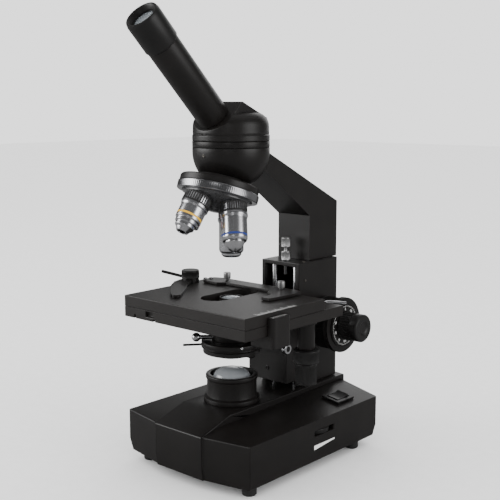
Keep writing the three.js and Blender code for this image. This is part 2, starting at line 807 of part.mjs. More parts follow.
function slotOutline() {
  const straight = SLOT_HALF_LENGTH - SLOT_RADIUS;
  return [
    ...arc(0, SLOT_Y + straight, SLOT_RADIUS, 0, 180, 10),
    ...arc(0, SLOT_Y - straight, SLOT_RADIUS, 180, 360, 10),
  ];
}

function stagePlate() {
  const plate = block(STAGE_LEFT, STAGE_RIGHT, STAGE_FRONT, PLATE_REAR, STAGE_SEAM, STAGE_TOP);
  return cut(plate, slab(slotOutline(), 100, 200));
}

function scaleBlock() {
  const inner = STAGE_RIGHT + GAP;
  const outer = inner + SCALE_BLOCK_THICKNESS;
  const half = SCALE_BLOCK_LENGTH / 2;
  const round = 5;
  const outline = [
    [inner, SCALE_BLOCK_Y - half],
    [outer - round, SCALE_BLOCK_Y - half],
    ...arc(outer - round, SCALE_BLOCK_Y - half + round, round, -90, 0, 4),
    ...arc(outer - round, SCALE_BLOCK_Y + half - round, round, 0, 90, 4),
    [inner, SCALE_BLOCK_Y + half],
  ];
  const upright = slab(outline, STAGE_UNDERSIDE - 10, STAGE_TOP - 3.5);
  const foot = block(
    inner - 18,
    outer - 2,
    SCALE_BLOCK_Y - half,
    SCALE_BLOCK_Y + half,
    STAGE_UNDERSIDE - 10,
    STAGE_UNDERSIDE - GAP,
  );
  return join(upright, foot);
}

// The bar that the glass slide lies against, with its fixed jaw at the right.
function slideBar() {
  const outline = [
    [-60, 39],
    [-60, 27.5],
    [-56, 21],
    [-38, 20.5],
    [-31, 26],
    [22, 26.5],
    [29, 15],
    [35, 15.5],
    [38, -3],
    [47, -2],
    [50.5, 28],
    [49, 39],
    [42, 43],
    [-50, 43],
  ];
  return slab(outline, STAGE_TOP + GAP, STAGE_TOP + GAP + HOLDER_THICKNESS);
}

// The sprung finger that presses the slide against the jaw, with its knob and lever.
function slideFinger() {
  const bottom = STAGE_TOP + GAP;
  const top = bottom + HOLDER_THICKNESS;
  const blade = [
    [-76, 10],
    [-72, -2],
    [-62, -16],
    [-43, -35],
    [-30, -46.5],
    ...arc(-26.5, -43.5, 4, 215, 395, 8),
    [-33, -28],
    [-44, -13],
    [-54, -3],
    [-60.8, 10],
    ...arc(FINGER_X, FINGER_Y, FINGER_KNOB_RADIUS + 0.3, -30, 150, 8),
  ];
  const knob = rod(FINGER_KNOB_RADIUS, top - 0.5, top + FINGER_KNOB_HEIGHT, 24).translate(FINGER_X, FINGER_Y, 0);
  const lever = rodBetween(
    new THREE.Vector3(FINGER_X - 4, FINGER_Y - 4, top + 2.2),
    new THREE.Vector3(-94, 2.6, top + 6.5),
    1.5,
    10,
  );
  return join(slab(blade, bottom, top), knob, lever);
}

function thumbScrew(x) {
  const bottom = STAGE_TOP + HOLDER_THICKNESS + 2 * GAP;
  return turned(
    [
      [0, bottom],
      [2, bottom],
      [2, bottom + 1.6],
      [THUMB_RADIUS, bottom + 1.6],
      [THUMB_RADIUS, bottom + THUMB_HEIGHT - 0.5],
      [THUMB_RADIUS - 0.5, bottom + THUMB_HEIGHT],
      [0, bottom + THUMB_HEIGHT],
    ],
    SMALL_ROUND,
  ).translate(x, THUMB_Y, 0);
}

function driveSleeve() {
  const top = STAGE_UNDERSIDE - GAP;
  return turnedRing([
    [5, Y_KNOB_TOP + GAP],
    [DRIVE_SLEEVE_RADIUS, Y_KNOB_TOP + GAP],
    [DRIVE_SLEEVE_RADIUS, top - 4],
    [DRIVE_SLEEVE_RADIUS + 1.7, top - 3.4],
    [DRIVE_SLEEVE_RADIUS + 1.7, top],
    [5, top],
  ]).translate(DRIVE_X, DRIVE_Y, 0);
}

function yKnob() {
  return turnedRing([
    [2.9, Y_KNOB_BOTTOM],
    [Y_KNOB_RADIUS - 0.6, Y_KNOB_BOTTOM],
    [Y_KNOB_RADIUS, Y_KNOB_BOTTOM + 0.6],
    [Y_KNOB_RADIUS, Y_KNOB_TOP - 0.6],
    [Y_KNOB_RADIUS - 0.6, Y_KNOB_TOP],
    [4.6, Y_KNOB_TOP],
    [4.6, Y_KNOB_TOP + 18],
    [2.9, Y_KNOB_TOP + 18],
  ]).translate(DRIVE_X, DRIVE_Y, 0);
}

function xKnob() {
  const top = Y_KNOB_BOTTOM - GAP;
  return turned([
    [0, X_KNOB_BOTTOM],
    [X_KNOB_RADIUS - 0.8, X_KNOB_BOTTOM],
    [X_KNOB_RADIUS, X_KNOB_BOTTOM + 0.8],
    [X_KNOB_RADIUS, top - 0.5],
    [X_KNOB_RADIUS - 0.5, top],
    [2.5, top],
    [2.5, Y_KNOB_TOP + 22],
    [0, Y_KNOB_TOP + 22],
  ]).translate(DRIVE_X, DRIVE_Y, 0);
}

function stageGroup() {
  const group = new THREE.Group();
  group.add(piece('stage_carrier', stageCarrier(), blackPaint()));
  group.add(piece('stage_base', stageBase(), stagePaint()));
  group.add(piece('stage_plate', stagePlate(), stagePaint()));
  group.add(piece('scale_block', scaleBlock(), blackPaint()));
  group.add(piece('slide_bar', slideBar(), blackPaint()));
  group.add(piece('slide_finger', slideFinger(), blackPaint()));
  group.add(piece('thumb_screw_left', thumbScrew(THUMB_X[0]), satinSteel()));
  group.add(piece('thumb_screw_right', thumbScrew(THUMB_X[1]), satinSteel()));
  group.add(piece('drive_sleeve', driveSleeve(), blackPaint()));
  group.add(piece('y_knob', yKnob(), blackPlastic()));
  group.add(piece('x_knob', xKnob(), blackPlastic()));
  return group;
}

// ---------------------------------------------------------------- condenser

// The ring that carries the condenser, its neck, and the plate that slides on the stage carrier.
function condenserArm() {
  const rear = CARRIER_FRONT - GAP;
  const bore = rod(CONDENSER_RADIUS + GAP, 90, 160, ROUND);
  const ring = rod(CONDENSER_ARM_RADIUS, CONDENSER_BOTTOM, CONDENSER_ARM_TOP, ROUND);
  const neck = block(-15, 15, 10, rear - 1, CONDENSER_BOTTOM, CONDENSER_ARM_TOP);
  const half = HOUSING_HALF_WIDTH;
  const slide = block(-half, half, SLIDE_PLATE_FRONT, rear, SLIDE_PLATE_BOTTOM, SLIDE_PLATE_TOP);
  const pinionBore = rod(1.7, half - 9, half + 5, 12).applyMatrix4(condenserKnobFrame());
  const filterBore = rod(FILTER_PIN_RADIUS + GAP, 90, CONDENSER_BOTTOM + 4, 12);
  filterBore.translate(FILTER_PIVOT_X, FILTER_PIVOT_Y, 0);
  return cut(join(ring, neck, slide), bore, pinionBore, filterBore);
}

function condenserKnobFrame() {
  const y = (SLIDE_PLATE_FRONT + CARRIER_FRONT - GAP) / 2;
  return new THREE.Matrix4().makeBasis(AXIS_Y, AXIS_Z, AXIS_X).setPosition(0, y, CONDENSER_KNOB_Z);
}

function condenserKnob() {
  const start = CARRIER_HALF_WIDTH + GAP;
  return turned(
    [
      [0, HOUSING_HALF_WIDTH - 8],
      [1.4, HOUSING_HALF_WIDTH - 8],
      [1.4, start],
      [CONDENSER_KNOB_RADIUS, start],
      [CONDENSER_KNOB_RADIUS, start + 3.4],
      [CONDENSER_KNOB_RADIUS - 0.6, start + 4],
      [0, start + 4],
    ],
    SMALL_ROUND,
  ).applyMatrix4(condenserKnobFrame());
}

function condenserBody() {
  return turnedRing([
    [14, CONDENSER_BOTTOM],
    [CONDENSER_RADIUS, CONDENSER_BOTTOM],
    [CONDENSER_RADIUS, CONDENSER_TOP - 14],
    [CONDENSER_LENS_MOUNT, CONDENSER_TOP - 9],
    [CONDENSER_LENS_MOUNT, CONDENSER_TOP],
    [CONDENSER_LENS_RADIUS + GAP, CONDENSER_TOP],
    [CONDENSER_LENS_RADIUS + GAP, CONDENSER_TOP - 4],
    [7.5, CONDENSER_TOP - 4],
    [7.5, CONDENSER_TOP - 11],
    [14, CONDENSER_TOP - 16],
  ]);
}

function condenserLens() {
  const seat = CONDENSER_TOP - 4 + GAP;
  return turned([
    [0, seat],
    [CONDENSER_LENS_RADIUS, seat],
    [CONDENSER_LENS_RADIUS, seat + 2.6],
    [CONDENSER_LENS_RADIUS - 3, seat + 3.8],
    [0, seat + 4.4],
  ]);
}

function irisRing() {
  const ring = turnedRing([
    [CONDENSER_RADIUS + GAP, IRIS_BOTTOM],
    [IRIS_RADIUS - 1.2, IRIS_BOTTOM],
    [IRIS_RADIUS, IRIS_BOTTOM + 1.2],
    [IRIS_RADIUS, IRIS_TOP - 1],
    [IRIS_RADIUS - 1, IRIS_TOP],
    [CONDENSER_RADIUS + GAP, IRIS_TOP],
  ]);
  const height = (IRIS_BOTTOM + IRIS_TOP) / 2;
  const outward = new THREE.Vector3(-0.78, -0.62, 0).normalize();
  const start = outward.clone().multiplyScalar(IRIS_RADIUS - 3).setZ(height);
  const end = outward.clone().multiplyScalar(IRIS_RADIUS + 17).setZ(height - 2.6);
  return join(ring, rodBetween(start, end, 1.1, 10));
}

function centringScrew() {
  const origin = new THREE.Vector3(0, 0, CENTRING_SCREW_Z);
  const direction = new THREE.Vector3(-0.7, -0.7, 0);
  const head = 4.2;
  return turned(
    [
      [0, CONDENSER_RADIUS + GAP],
      [2, CONDENSER_RADIUS + GAP],
      [2, IRIS_RADIUS + GAP],
      ...arc(0, IRIS_RADIUS + GAP + head, head, -60, 75, 6),
      [0, IRIS_RADIUS + GAP + 2 * head],
    ],
    16,
  ).applyMatrix4(frameAlong(origin, direction));
}

function filterHolder() {
  const top = CONDENSER_BOTTOM - GAP;
  const bottom = top - FILTER_THICKNESS;
  const ring = rod(FILTER_RADIUS, bottom, top, ROUND);
  const reach = FILTER_PIVOT_X + 3;
  const lug = block(0, reach, FILTER_PIVOT_Y - 3, FILTER_PIVOT_Y + 3, bottom, top);
  const handle = block(-FILTER_RADIUS - 8, 0, -2.5, 2.5, bottom, bottom + 1.2);
  const pin = rod(FILTER_PIN_RADIUS, top - 1, CONDENSER_BOTTOM + 3, 12);
  pin.translate(FILTER_PIVOT_X, FILTER_PIVOT_Y, 0);
  return cut(join(ring, lug, handle, pin), rod(FILTER_RADIUS - 3, 0, 200, ROUND));
}

function condenserGroup() {
  const group = new THREE.Group();
  group.add(piece('condenser_arm', condenserArm(), blackPaint()));
  group.add(piece('condenser_knob', condenserKnob(), chrome()));
  group.add(piece('condenser_body', condenserBody(), blackMetal()));
  group.add(piece('condenser_lens', condenserLens(), glass()));
  group.add(piece('iris_ring', irisRing(), blackPaint()));
  group.add(piece('centring_screw', centringScrew(), chrome()));
  group.add(piece('filter_holder', filterHolder(), blackMetal()));
  return group;
}

// ---------------------------------------------------------------- nosepiece and objectives

const apex = new THREE.Vector3(0, 0, TURRET_APEX_Z);
const turretAxis = new THREE.Vector3(0, -Math.sin(TURRET_TILT), -Math.cos(TURRET_TILT));
const shoulderAlong = SHOULDER_DISTANCE * Math.cos(TURRET_TILT);
const shoulderRadius = SHOULDER_DISTANCE * Math.sin(TURRET_TILT);

function alongTurret(geometry) {
  return geometry.applyMatrix4(frameAlong(apex, turretAxis));
}

// How far along the turret axis the conical underside lies at a radius; it is square to each
// objective where that objective's shoulder seats.
function coneAt(radius) {
  return shoulderAlong + (shoulderRadius - radius) * Math.tan(TURRET_TILT);
}

function objectiveDirection(angle) {
  const inward = new THREE.Vector3(0, Math.cos(TURRET_TILT), -Math.sin(TURRET_TILT));
  const spread = inward.multiplyScalar(Math.cos(angle)).add(AXIS_X.clone().multiplyScalar(Math.sin(angle)));
  return turretAxis.clone().multiplyScalar(Math.cos(TURRET_TILT)).add(spread.multiplyScalar(Math.sin(TURRET_TILT)));
}

function nosepieceMount() {
  const top = MOUNT_TOP + GAP;
  const disc = alongTurret(
    turned([
      [0, top],
      [22, top],
      [23, top + 2],
      [MOUNT_RADIUS - 1, top + 3],
      [MOUNT_RADIUS, top + 4],
      [MOUNT_RADIUS, MOUNT_BOTTOM],
      [PIVOT_RADIUS, MOUNT_BOTTOM],
      [PIVOT_RADIUS, MOUNT_BOTTOM + 8],
      [0, MOUNT_BOTTOM + 8],
    ]),
  );
  return cut(disc, rod(7.5, 200, 300));
}

function turretRing() {
  const inner = TURRET_RADIUS - TURRET_RING_WIDTH;
  const top = MOUNT_BOTTOM + GAP;
  return alongTurret(
    turnedRing([
      [inner, top],
      [TURRET_RADIUS - 0.6, top],
      [TURRET_RADIUS, top + 0.6],
      [TURRET_RADIUS, TURRET_RING_BOTTOM - 0.6],
      [TURRET_RADIUS - 0.6, TURRET_RING_BOTTOM],
      [inner, TURRET_RING_BOTTOM],
    ]),
  );
}

function turretCone() {
  const top = MOUNT_BOTTOM + GAP;
  const outer = TURRET_RADIUS - TURRET_RING_WIDTH - GAP;
  const pivotBore = PIVOT_RADIUS + GAP;
  const body = alongTurret(
    turned([
      [0, MOUNT_BOTTOM + 9],
      [pivotBore, MOUNT_BOTTOM + 9],
      [pivotBore, top],
      [outer, top],
      [outer, coneAt(outer)],
      [6.5, coneAt(6.5)],
      [5.6, coneAt(6.5) + 4],
      [0, coneAt(6.5) + 4.6],
    ]),
  );
  const bores = [0, 1, 2, 3].map((i) =>
    rod(OBJECTIVE_THREAD_RADIUS + GAP, 40, 80).applyMatrix4(frameAlong(apex, objectiveDirection((i * Math.PI) / 2))),
  );
  return cut(body, ...bores);
}

// Outer shape of each objective as (radius, distance below the shoulder), from the collar down.
const OBJECTIVES = [
  {
    name: '100x',
    angle: 0,
    outer: [[11, 0.4], [11, 9], [12, 9.4], [12, 12], [11, 14], [11, 38], [10, 40]],
    nose: [[9, 30], [9, 42], [7.4, 43.8]],
    bore: 9.4,
    boreStart: 27.5,
  },
  {
    name: '40x',
    angle: 90,
    outer: [[11.2, 0.4], [11.2, 9.4], [12.1, 9.8], [12.1, 12], [11.2, 14], [11.2, 31.5], [10.2, 34]],
    nose: [[8.4, 27], [8.4, 35.5], [5.4, 41], [2.6, 43.6]],
    bore: 8.8,
    boreStart: 24.5,
  },
  {
    name: '10x',
    angle: 180,
    outer: [
      [12, 0.4],
      [12, 12],
      [11.2, 13],
      [11.2, 24.6],
      [10, 25.2],
      [10, 28.2],
      [8.6, 28.8],
      [8.6, 31.4],
      [6.8, 33],
      [5.2, 36],
    ],
  },
  {
    name: '4x',
    angle: 270,
    outer: [[11.6, 0.4], [11.6, 9], [11, 10], [11, 24], [10.4, 25]],
  },
];

function objectiveFrame(angle) {
  const direction = objectiveDirection(THREE.MathUtils.degToRad(angle));
  const origin = apex.clone().add(direction.clone().multiplyScalar(SHOULDER_DISTANCE));
  return frameAlong(origin, direction);
}

function objectiveBarrel({ angle, outer, bore, boreStart }) {
  const last = outer[outer.length - 1];
  const passage = 5;
  const thread = OBJECTIVE_THREAD_RADIUS;
  const neck = [[passage, -4], [thread, -4], [thread, 0]];
  const inside = bore
    ? [[bore, last[1]], [bore, boreStart], [passage, boreStart]]
    : [[passage - 1, last[1]], [passage - 1, last[1] - 2], [passage, last[1] - 2]];
  const profile = [...neck, ...outer, ...inside];
  return turnedRing(profile, 24).applyMatrix4(objectiveFrame(angle));
}

function objectiveNose({ angle, nose }) {
  const start = nose[0][1];
  const last = nose[nose.length - 1];
  const profile = [[3, start], ...nose, [1.6, last[1]], [1.6, last[1] - 1.5], [3, last[1] - 2.5]];
  return turnedRing(profile, 24).applyMatrix4(objectiveFrame(angle));
}

function nosepieceGroup() {
  const group = new THREE.Group();
  group.add(piece('nosepiece_mount', nosepieceMount(), blackPaint()));
  group.add(piece('turret_ring', turretRing(), satinSteel()));
  group.add(piece('turret_cone', turretCone(), blackMetal()));
  for (const objective of OBJECTIVES) {
    group.add(piece(`objective_${objective.name}`, objectiveBarrel(objective), chrome()));
    if (objective.nose) {
      group.add(piece(`objective_nose_${objective.name}`, objectiveNose(objective), chrome()));
    }
  }
  return group;
}

// ---------------------------------------------------------------- head and eyepiece

const tubeOrigin = new THREE.Vector3(0, 0, TUBE_ORIGIN_Z);
const tubeAxis = new THREE.Vector3(0, -Math.sin(TUBE_ANGLE), Math.cos(TUBE_ANGLE));

function alongTube(geometry) {
  return geometry.applyMatrix4(frameAlong(tubeOrigin, tubeAxis));
}

function headBowl() {
  const bowl = turned([
    [0, BOWL_CENTRE_Z - HEAD_RADIUS],
    ...arc(0, BOWL_CENTRE_Z, HEAD_RADIUS, -80, 0, 12),
    [HEAD_RADIUS, BOWL_TOP],
    [0, BOWL_TOP],
  ]);
  const underCut = alongTurret(rod(60, MOUNT_TOP, MOUNT_TOP + 40));
  const hollow = rod(22, 272, 320, ROUND);
  const lightHole = rod(8, 200, 320);
  return cut(bowl, underCut, hollow, lightHole);
}

function headRing() {
  return turnedRing([
    [24, BOWL_TOP + GAP],
    [HEAD_RADIUS, BOWL_TOP + GAP],
    [HEAD_RADIUS, RING_TOP],
    [24, RING_TOP],
  ]);
}

function viewingHead() {
  const bottom = RING_TOP + GAP;
  const dome = turned([
    [0, bottom],
    [HEAD_RADIUS, bottom],
    [HEAD_RADIUS, HEAD_SHOULDER_Z],
    [HEAD_RADIUS - 0.7, HEAD_SHOULDER_Z + 0.4],
    [HEAD_RADIUS - 1, HEAD_SHOULDER_Z + 10],
    ...arc(HEAD_RADIUS - 7.6, HEAD_SHOULDER_Z + 10, 6.6, 15, 75, 4),
    [20, HEAD_SHOULDER_Z + 18.6],
    [10, HEAD_SHOULDER_Z + 20.4],
    [0, HEAD_SHOULDER_Z + 21],
  ]);
  const box = sideProfile(
    [
      [-60, bottom + 3],
      [25.2, bottom + 3],
      [25.2, RIDGE_Z - 13.9],
      [-7, RIDGE_Z],
      [-60, RIDGE_Z],
    ],
    -HEAD_BOX_HALF_WIDTH,
    HEAD_BOX_HALF_WIDTH,
  );
  const bound = rod(HEAD_RADIUS - 1, bottom, RIDGE_Z + 5, ROUND);
  const face = alongTube(rod(70, FACE_DISTANCE, FACE_DISTANCE + 80));
  const prismSpace = block(-12.5, 12.5, -14, 14, 0, 315);
  const tubeSeat = alongTube(rod(TUBE_RADIUS - 0.8 + GAP, FACE_DISTANCE - 8, FACE_DISTANCE + 5, ROUND));
  const sightHole = alongTube(rod(9, 0, FACE_DISTANCE + 5));
  return cut(join(dome, common(box, bound)), face, prismSpace, tubeSeat, sightHole);
}

function prism() {
  const bottom = RING_TOP + 3;
  const outline = [[-11, bottom], [11, bottom], [11, bottom + 9], [-3, bottom + 15], [-11, bottom + 7]];
  return sideProfile(outline, -10, 10);
}

function eyepieceTube() {
  const start = FACE_DISTANCE - 7;
  return alongTube(
    turnedRing([
      [TUBE_BORE, start],
      [TUBE_RADIUS - 0.8, start],
      [TUBE_RADIUS - 0.8, FACE_DISTANCE + GAP],
      [TUBE_RADIUS, FACE_DISTANCE + GAP],
      [TUBE_RADIUS, TUBE_END - 0.4],
      [TUBE_RADIUS - 0.4, TUBE_END],
      [TUBE_BORE, TUBE_END],
    ]),
  );
}

function eyepieceHousing() {
  const flange = TUBE_END + GAP;
  const bore = LENS_RADIUS + GAP;
  return alongTube(
    turnedRing([
      [bore, EYEPIECE_BARREL_START],
      [EYEPIECE_BARREL_RADIUS, EYEPIECE_BARREL_START],
      [EYEPIECE_BARREL_RADIUS, flange],
      [EYEPIECE_RADIUS - 0.4, flange],
      [EYEPIECE_RADIUS, flange + 0.4],
      [EYEPIECE_RADIUS, EYEPIECE_END - 3.5],
      [EYEPIECE_RADIUS - 0.9, EYEPIECE_END],
      [EYEPIECE_RADIUS - 2.6, EYEPIECE_END],
      [bore, EYEPIECE_END - 4],
    ]),
  );
}

function eyepieceLens(distance) {
  return alongTube(
    turned(
      [
        [0, distance - 0.8],
        [LENS_RADIUS, distance],
        [LENS_RADIUS, distance + 1.8],
        [0, distance + 2.6],
      ],
      SMALL_ROUND,
    ),
  );
}

function headGroup() {
  const group = new THREE.Group();
  group.add(piece('head_bowl', headBowl(), blackPaint()));
  group.add(piece('head_ring', headRing(), blackMetal()));
  group.add(piece('viewing_head', viewingHead(), blackPaint()));
  group.add(piece('prism', prism(), glass()));
  group.add(piece('eyepiece_tube', eyepieceTube(), blackPaint()));
  group.add(piece('eyepiece_housing', eyepieceHousing(), blackPlastic()));
  group.add(piece('eye_lens', eyepieceLens(EYEPIECE_END - 7), glass()));
  group.add(piece('field_lens', eyepieceLens(EYEPIECE_BARREL_START + 4), glass()));
  return group;
}

// ---------------------------------------------------------------- the whole microscope

const microscope = new THREE.Group();
microscope.name = 'microscope';
microscope.add(baseGroup(), standGroup(), stageGroup(), condenserGroup(), nosepieceGroup(), headGroup());
microscope.updateMatrixWorld(true);
const bounds = new THREE.Box3().setFromObject(microscope, true);
const middle = bounds.getCenter(new THREE.Vector3());
microscope.position.set(-middle.x, -middle.y, -bounds.min.z);
microscope.updateMatrixWorld(true);

export default microscope;
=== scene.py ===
"""The looks of the monocular microscope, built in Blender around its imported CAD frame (metres)."""

import json
import math

import bmesh
import bpy
from mathutils import Matrix, Vector


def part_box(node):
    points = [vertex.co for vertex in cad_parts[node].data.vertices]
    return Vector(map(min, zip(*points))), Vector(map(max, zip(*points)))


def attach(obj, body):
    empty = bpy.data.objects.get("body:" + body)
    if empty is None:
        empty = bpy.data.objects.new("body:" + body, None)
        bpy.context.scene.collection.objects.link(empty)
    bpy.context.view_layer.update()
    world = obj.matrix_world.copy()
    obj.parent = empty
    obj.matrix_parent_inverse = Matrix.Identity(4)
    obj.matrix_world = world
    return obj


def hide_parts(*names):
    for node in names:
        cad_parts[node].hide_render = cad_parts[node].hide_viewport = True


MM = 0.001
SMOOTH_TURN = 96  # sides of a plain turned piece
UP = Vector((0, 0, 1))
RIGHT = Vector((1, 0, 0))

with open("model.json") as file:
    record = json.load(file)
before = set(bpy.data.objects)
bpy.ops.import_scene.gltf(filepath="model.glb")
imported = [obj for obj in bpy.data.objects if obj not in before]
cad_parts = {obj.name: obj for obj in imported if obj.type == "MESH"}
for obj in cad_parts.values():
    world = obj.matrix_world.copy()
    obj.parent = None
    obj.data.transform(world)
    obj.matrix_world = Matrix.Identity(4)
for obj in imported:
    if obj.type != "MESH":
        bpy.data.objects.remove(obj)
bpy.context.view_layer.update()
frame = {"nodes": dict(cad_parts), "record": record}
record = frame["record"]
body_of = {n: body for body, nodes in record["behaviour"]["bodies"].items() for n in nodes}
slot_of = {part["node"]: part["material_slot"] for part in record["subparts"]}
joints = {joint["name"]: joint for joint in record["behaviour"]["joints"]}


def middle(node):
    low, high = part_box(node)
    return (low + high) / 2


OPTICAL_AXIS = middle("lamp_housing")
OPTICAL_AXIS.z = 0
TUBE_AXIS = Vector(joints["eyepiece_pull"]["axis"])
TURRET_AXIS = Vector(joints["nosepiece_turn"]["axis"])
TURRET_APEX = Vector(joints["nosepiece_turn"]["pos_m"])
FOCUS_CENTRE = Vector(joints["coarse_turn"]["pos_m"])


# ------------------------------------------------------------------ materials

class Nodes:
    """A material's node tree, with short calls for the nodes that all of these looks share."""

    def __init__(self, name):
        self.material = bpy.data.materials.new(name)
        self.material.use_nodes = True
        self.tree = self.material.node_tree
        self.shader = self.tree.nodes["Principled BSDF"]
        self.place = self.tree.nodes.new("ShaderNodeTexCoord").outputs["Object"]

    def link(self, source, target):
        self.tree.links.new(source, target)

    def noise(self, scale, detail=3.0, stretch=(1, 1, 1)):
        mapping = self.tree.nodes.new("ShaderNodeMapping")
        mapping.inputs["Scale"].default_value = stretch
        self.link(self.place, mapping.inputs["Vector"])
        node = self.tree.nodes.new("ShaderNodeTexNoise")
        node.inputs["Scale"].default_value = scale
        node.inputs["Detail"].default_value = detail
        self.link(mapping.outputs["Vector"], node.inputs["Vector"])
        return node.outputs["Fac"]

    def ramp(self, source, low, high):
        node = self.tree.nodes.new("ShaderNodeMapRange")
        node.inputs["From Min"].default_value = 0.3
        node.inputs["From Max"].default_value = 0.7
        node.inputs["To Min"].default_value = low
        node.inputs["To Max"].default_value = high
        self.link(source, node.inputs["Value"])
        return node.outputs["Result"]

    def mix(self, factor, first, second):
        node = self.tree.nodes.new("ShaderNodeMix")
        node.data_type = "RGBA"
        node.inputs["A"].default_value = (*first, 1)
        node.inputs["B"].default_value = (*second, 1)
        self.link(factor, node.inputs["Factor"])
        return node.outputs["Result"]

    def bump(self, height, strength, distance):
        node = self.tree.nodes.new("ShaderNodeBump")
        node.inputs["Strength"].default_value = strength
        node.inputs["Distance"].default_value = distance
        self.link(height, node.inputs["Height"])
        self.link(node.outputs["Normal"], self.shader.inputs["Normal"])


def surface(name, colours, roughness, grain, bump, metallic=0.0, stretch=(1, 1, 1), **sockets):
    """A look whose colour and roughness wander a little and whose surface has a fine grain."""
    look = Nodes(name)
    slow = look.noise(38.0, 4.0)
    fine = look.noise(grain, 3.0, stretch)
    look.link(look.mix(look.ramp(slow, 0, 1), *colours), look.shader.inputs["Base Color"])
    look.link(look.ramp(fine, *roughness), look.shader.inputs["Roughness"])
    look.bump(fine, bump, 0.0003)
    look.shader.inputs["Metallic"].default_value = metallic
    for socket, value in sockets.items():
        look.shader.inputs[socket.replace("_", " ")].default_value = value
    return look.material


LOOKS = {
    "casting_paint": surface(
        "satin_black_paint", [(0.0042, 0.0034, 0.0031), (0.0062, 0.0051, 0.0046)], (0.32, 0.44), 1700, 0.16,
        Specular_IOR_Level=0.4,
    ),
    "stage_paint": surface(
        "worn_black_paint", [(0.0062, 0.0051, 0.0045), (0.0092, 0.0075, 0.0066)], (0.34, 0.48), 1400, 0.14,
        Specular_IOR_Level=0.42,
    ),
    "black_alloy": surface(
        "black_anodised", [(0.007, 0.0063, 0.006), (0.011, 0.0099, 0.0095)], (0.26, 0.38), 2200, 0.1, 0.35,
        Specular_IOR_Level=0.4,
    ),
    "black_plastic": surface(
        "moulded_black_plastic", [(0.0045, 0.0042, 0.0041), (0.0068, 0.0064, 0.0062)], (0.3, 0.46), 1900,
        0.12, Specular_IOR_Level=0.38,
    ),
    "polished_chrome": surface(
        "polished_chrome", [(0.6, 0.6, 0.62), (0.72, 0.72, 0.73)], (0.14, 0.24), 600, 0.03, 1.0, (1, 1, 12)
    ),
    "satin_steel": surface(
        "satin_steel", [(0.42, 0.42, 0.42), (0.6, 0.6, 0.6)], (0.24, 0.4), 900, 0.08, 1.0, (1, 1, 10)
    ),
    "circuit_board": surface(
        "circuit_board", [(0.01, 0.06, 0.025), (0.015, 0.09, 0.04)], (0.4, 0.5), 500, 0.2
    ),
    "foot_rubber": surface(
        "foot_rubber", [(0.008, 0.008, 0.008), (0.014, 0.014, 0.014)], (0.7, 0.9), 900, 0.3
    ),
    "clear_glass": surface(
        "coated_glass", [(0.5, 0.56, 0.6), (0.62, 0.66, 0.7)], (0.02, 0.05), 300, 0.01, 0.0,
        Transmission_Weight=0.75, IOR=1.5, Coat_Weight=0.6,
    ),
    "frosted_glass": surface(
        "frosted_glass", [(0.2, 0.215, 0.23), (0.27, 0.285, 0.3)], (0.14, 0.24), 700, 0.05, 0.0,
        Coat_Weight=0.8, Coat_Roughness=0.05,
    ),
}
SATIN_CHROME = surface(
    "satin_chrome", [(0.58, 0.58, 0.6), (0.7, 0.7, 0.72)], (0.2, 0.27), 800, 0.012, 1.0, (1, 1, 12)
)
TURRET_CHROME = surface(
    "turret_chrome", [(0.3, 0.3, 0.31), (0.38, 0.38, 0.39)], (0.16, 0.26), 800, 0.012, 1.0
)
DULL_METAL = surface("dull_metal", [(0.1, 0.095, 0.085), (0.16, 0.15, 0.135)], (0.4, 0.5), 600, 0.05, 1.0)
TURRET_ENAMEL = surface(
    "turret_enamel", [(0.05, 0.05, 0.052), (0.07, 0.07, 0.072)], (0.22, 0.32), 1500, 0.05, 0.5,
    Coat_Weight=0.4, Coat_Roughness=0.15,
)
COLLAR_ENAMEL = surface(
    "collar_enamel", [(0.008, 0.0076, 0.0076), (0.013, 0.0125, 0.012)], (0.42, 0.52), 1500, 0.05
)
WHITE_MARK = surface("white_marking", [(0.62, 0.62, 0.61), (0.72, 0.72, 0.71)], (0.45, 0.6), 1500, 0.1)
RING_COLOURS = {
    "objective_4x": ("red_ring", [(0.42, 0.02, 0.015), (0.5, 0.03, 0.02)]),
    "objective_10x": ("yellow_ring", [(0.6, 0.33, 0.004), (0.68, 0.38, 0.006)]),
    "objective_40x": ("blue_ring", [(0.008, 0.022, 0.13), (0.012, 0.03, 0.17)]),
}
RING_PAINTS = {
    node: surface(name, colours, (0.25, 0.4), 1500, 0.05) for node, (name, colours) in RING_COLOURS.items()
}


# ------------------------------------------------------------------ mesh helpers

def object_of(name, data):
    obj = bpy.data.objects.new(name, data)
    bpy.context.scene.collection.objects.link(obj)
    return obj


def baked_mesh(obj):
    """The object's mesh with its modifiers applied, or the mesh that a text makes."""
    bpy.context.view_layer.update()
    return bpy.data.meshes.new_from_object(obj.evaluated_get(bpy.context.evaluated_depsgraph_get()))


def bake_modifiers(obj):
    baked = baked_mesh(obj)
    obj.modifiers.clear()
    obj.data = baked
    return obj


def new_object(name, points, faces):
    mesh = bpy.data.meshes.new(name)
    mesh.from_pydata([tuple(point) for point in points], [], faces)
    mesh.validate()
    bm = bmesh.new()
    bm.from_mesh(mesh)
    bmesh.ops.remove_doubles(bm, verts=bm.verts, dist=1e-7)
    bmesh.ops.recalc_face_normals(bm, faces=bm.faces)
    bm.to_mesh(mesh)
    bm.free()
    return object_of(name, mesh)


def smooth(obj, angle=32):
    """Smooth shading, kept sharp where faces meet at more than the angle."""
    limit = math.radians(angle)
    bm = bmesh.new()
    bm.from_mesh(obj.data)
    for face in bm.faces:
        face.smooth = True
    for edge in bm.edges:
        edge.smooth = len(edge.link_faces) == 2 and edge.calc_face_angle(0) < limit
    bm.to_mesh(obj.data)
    bm.free()
    return obj


def finish_piece(obj, body, slot, look=None):
    obj.data.materials.clear()
    obj.data.materials.append(look or LOOKS[slot])
    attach(obj, body)
    return obj


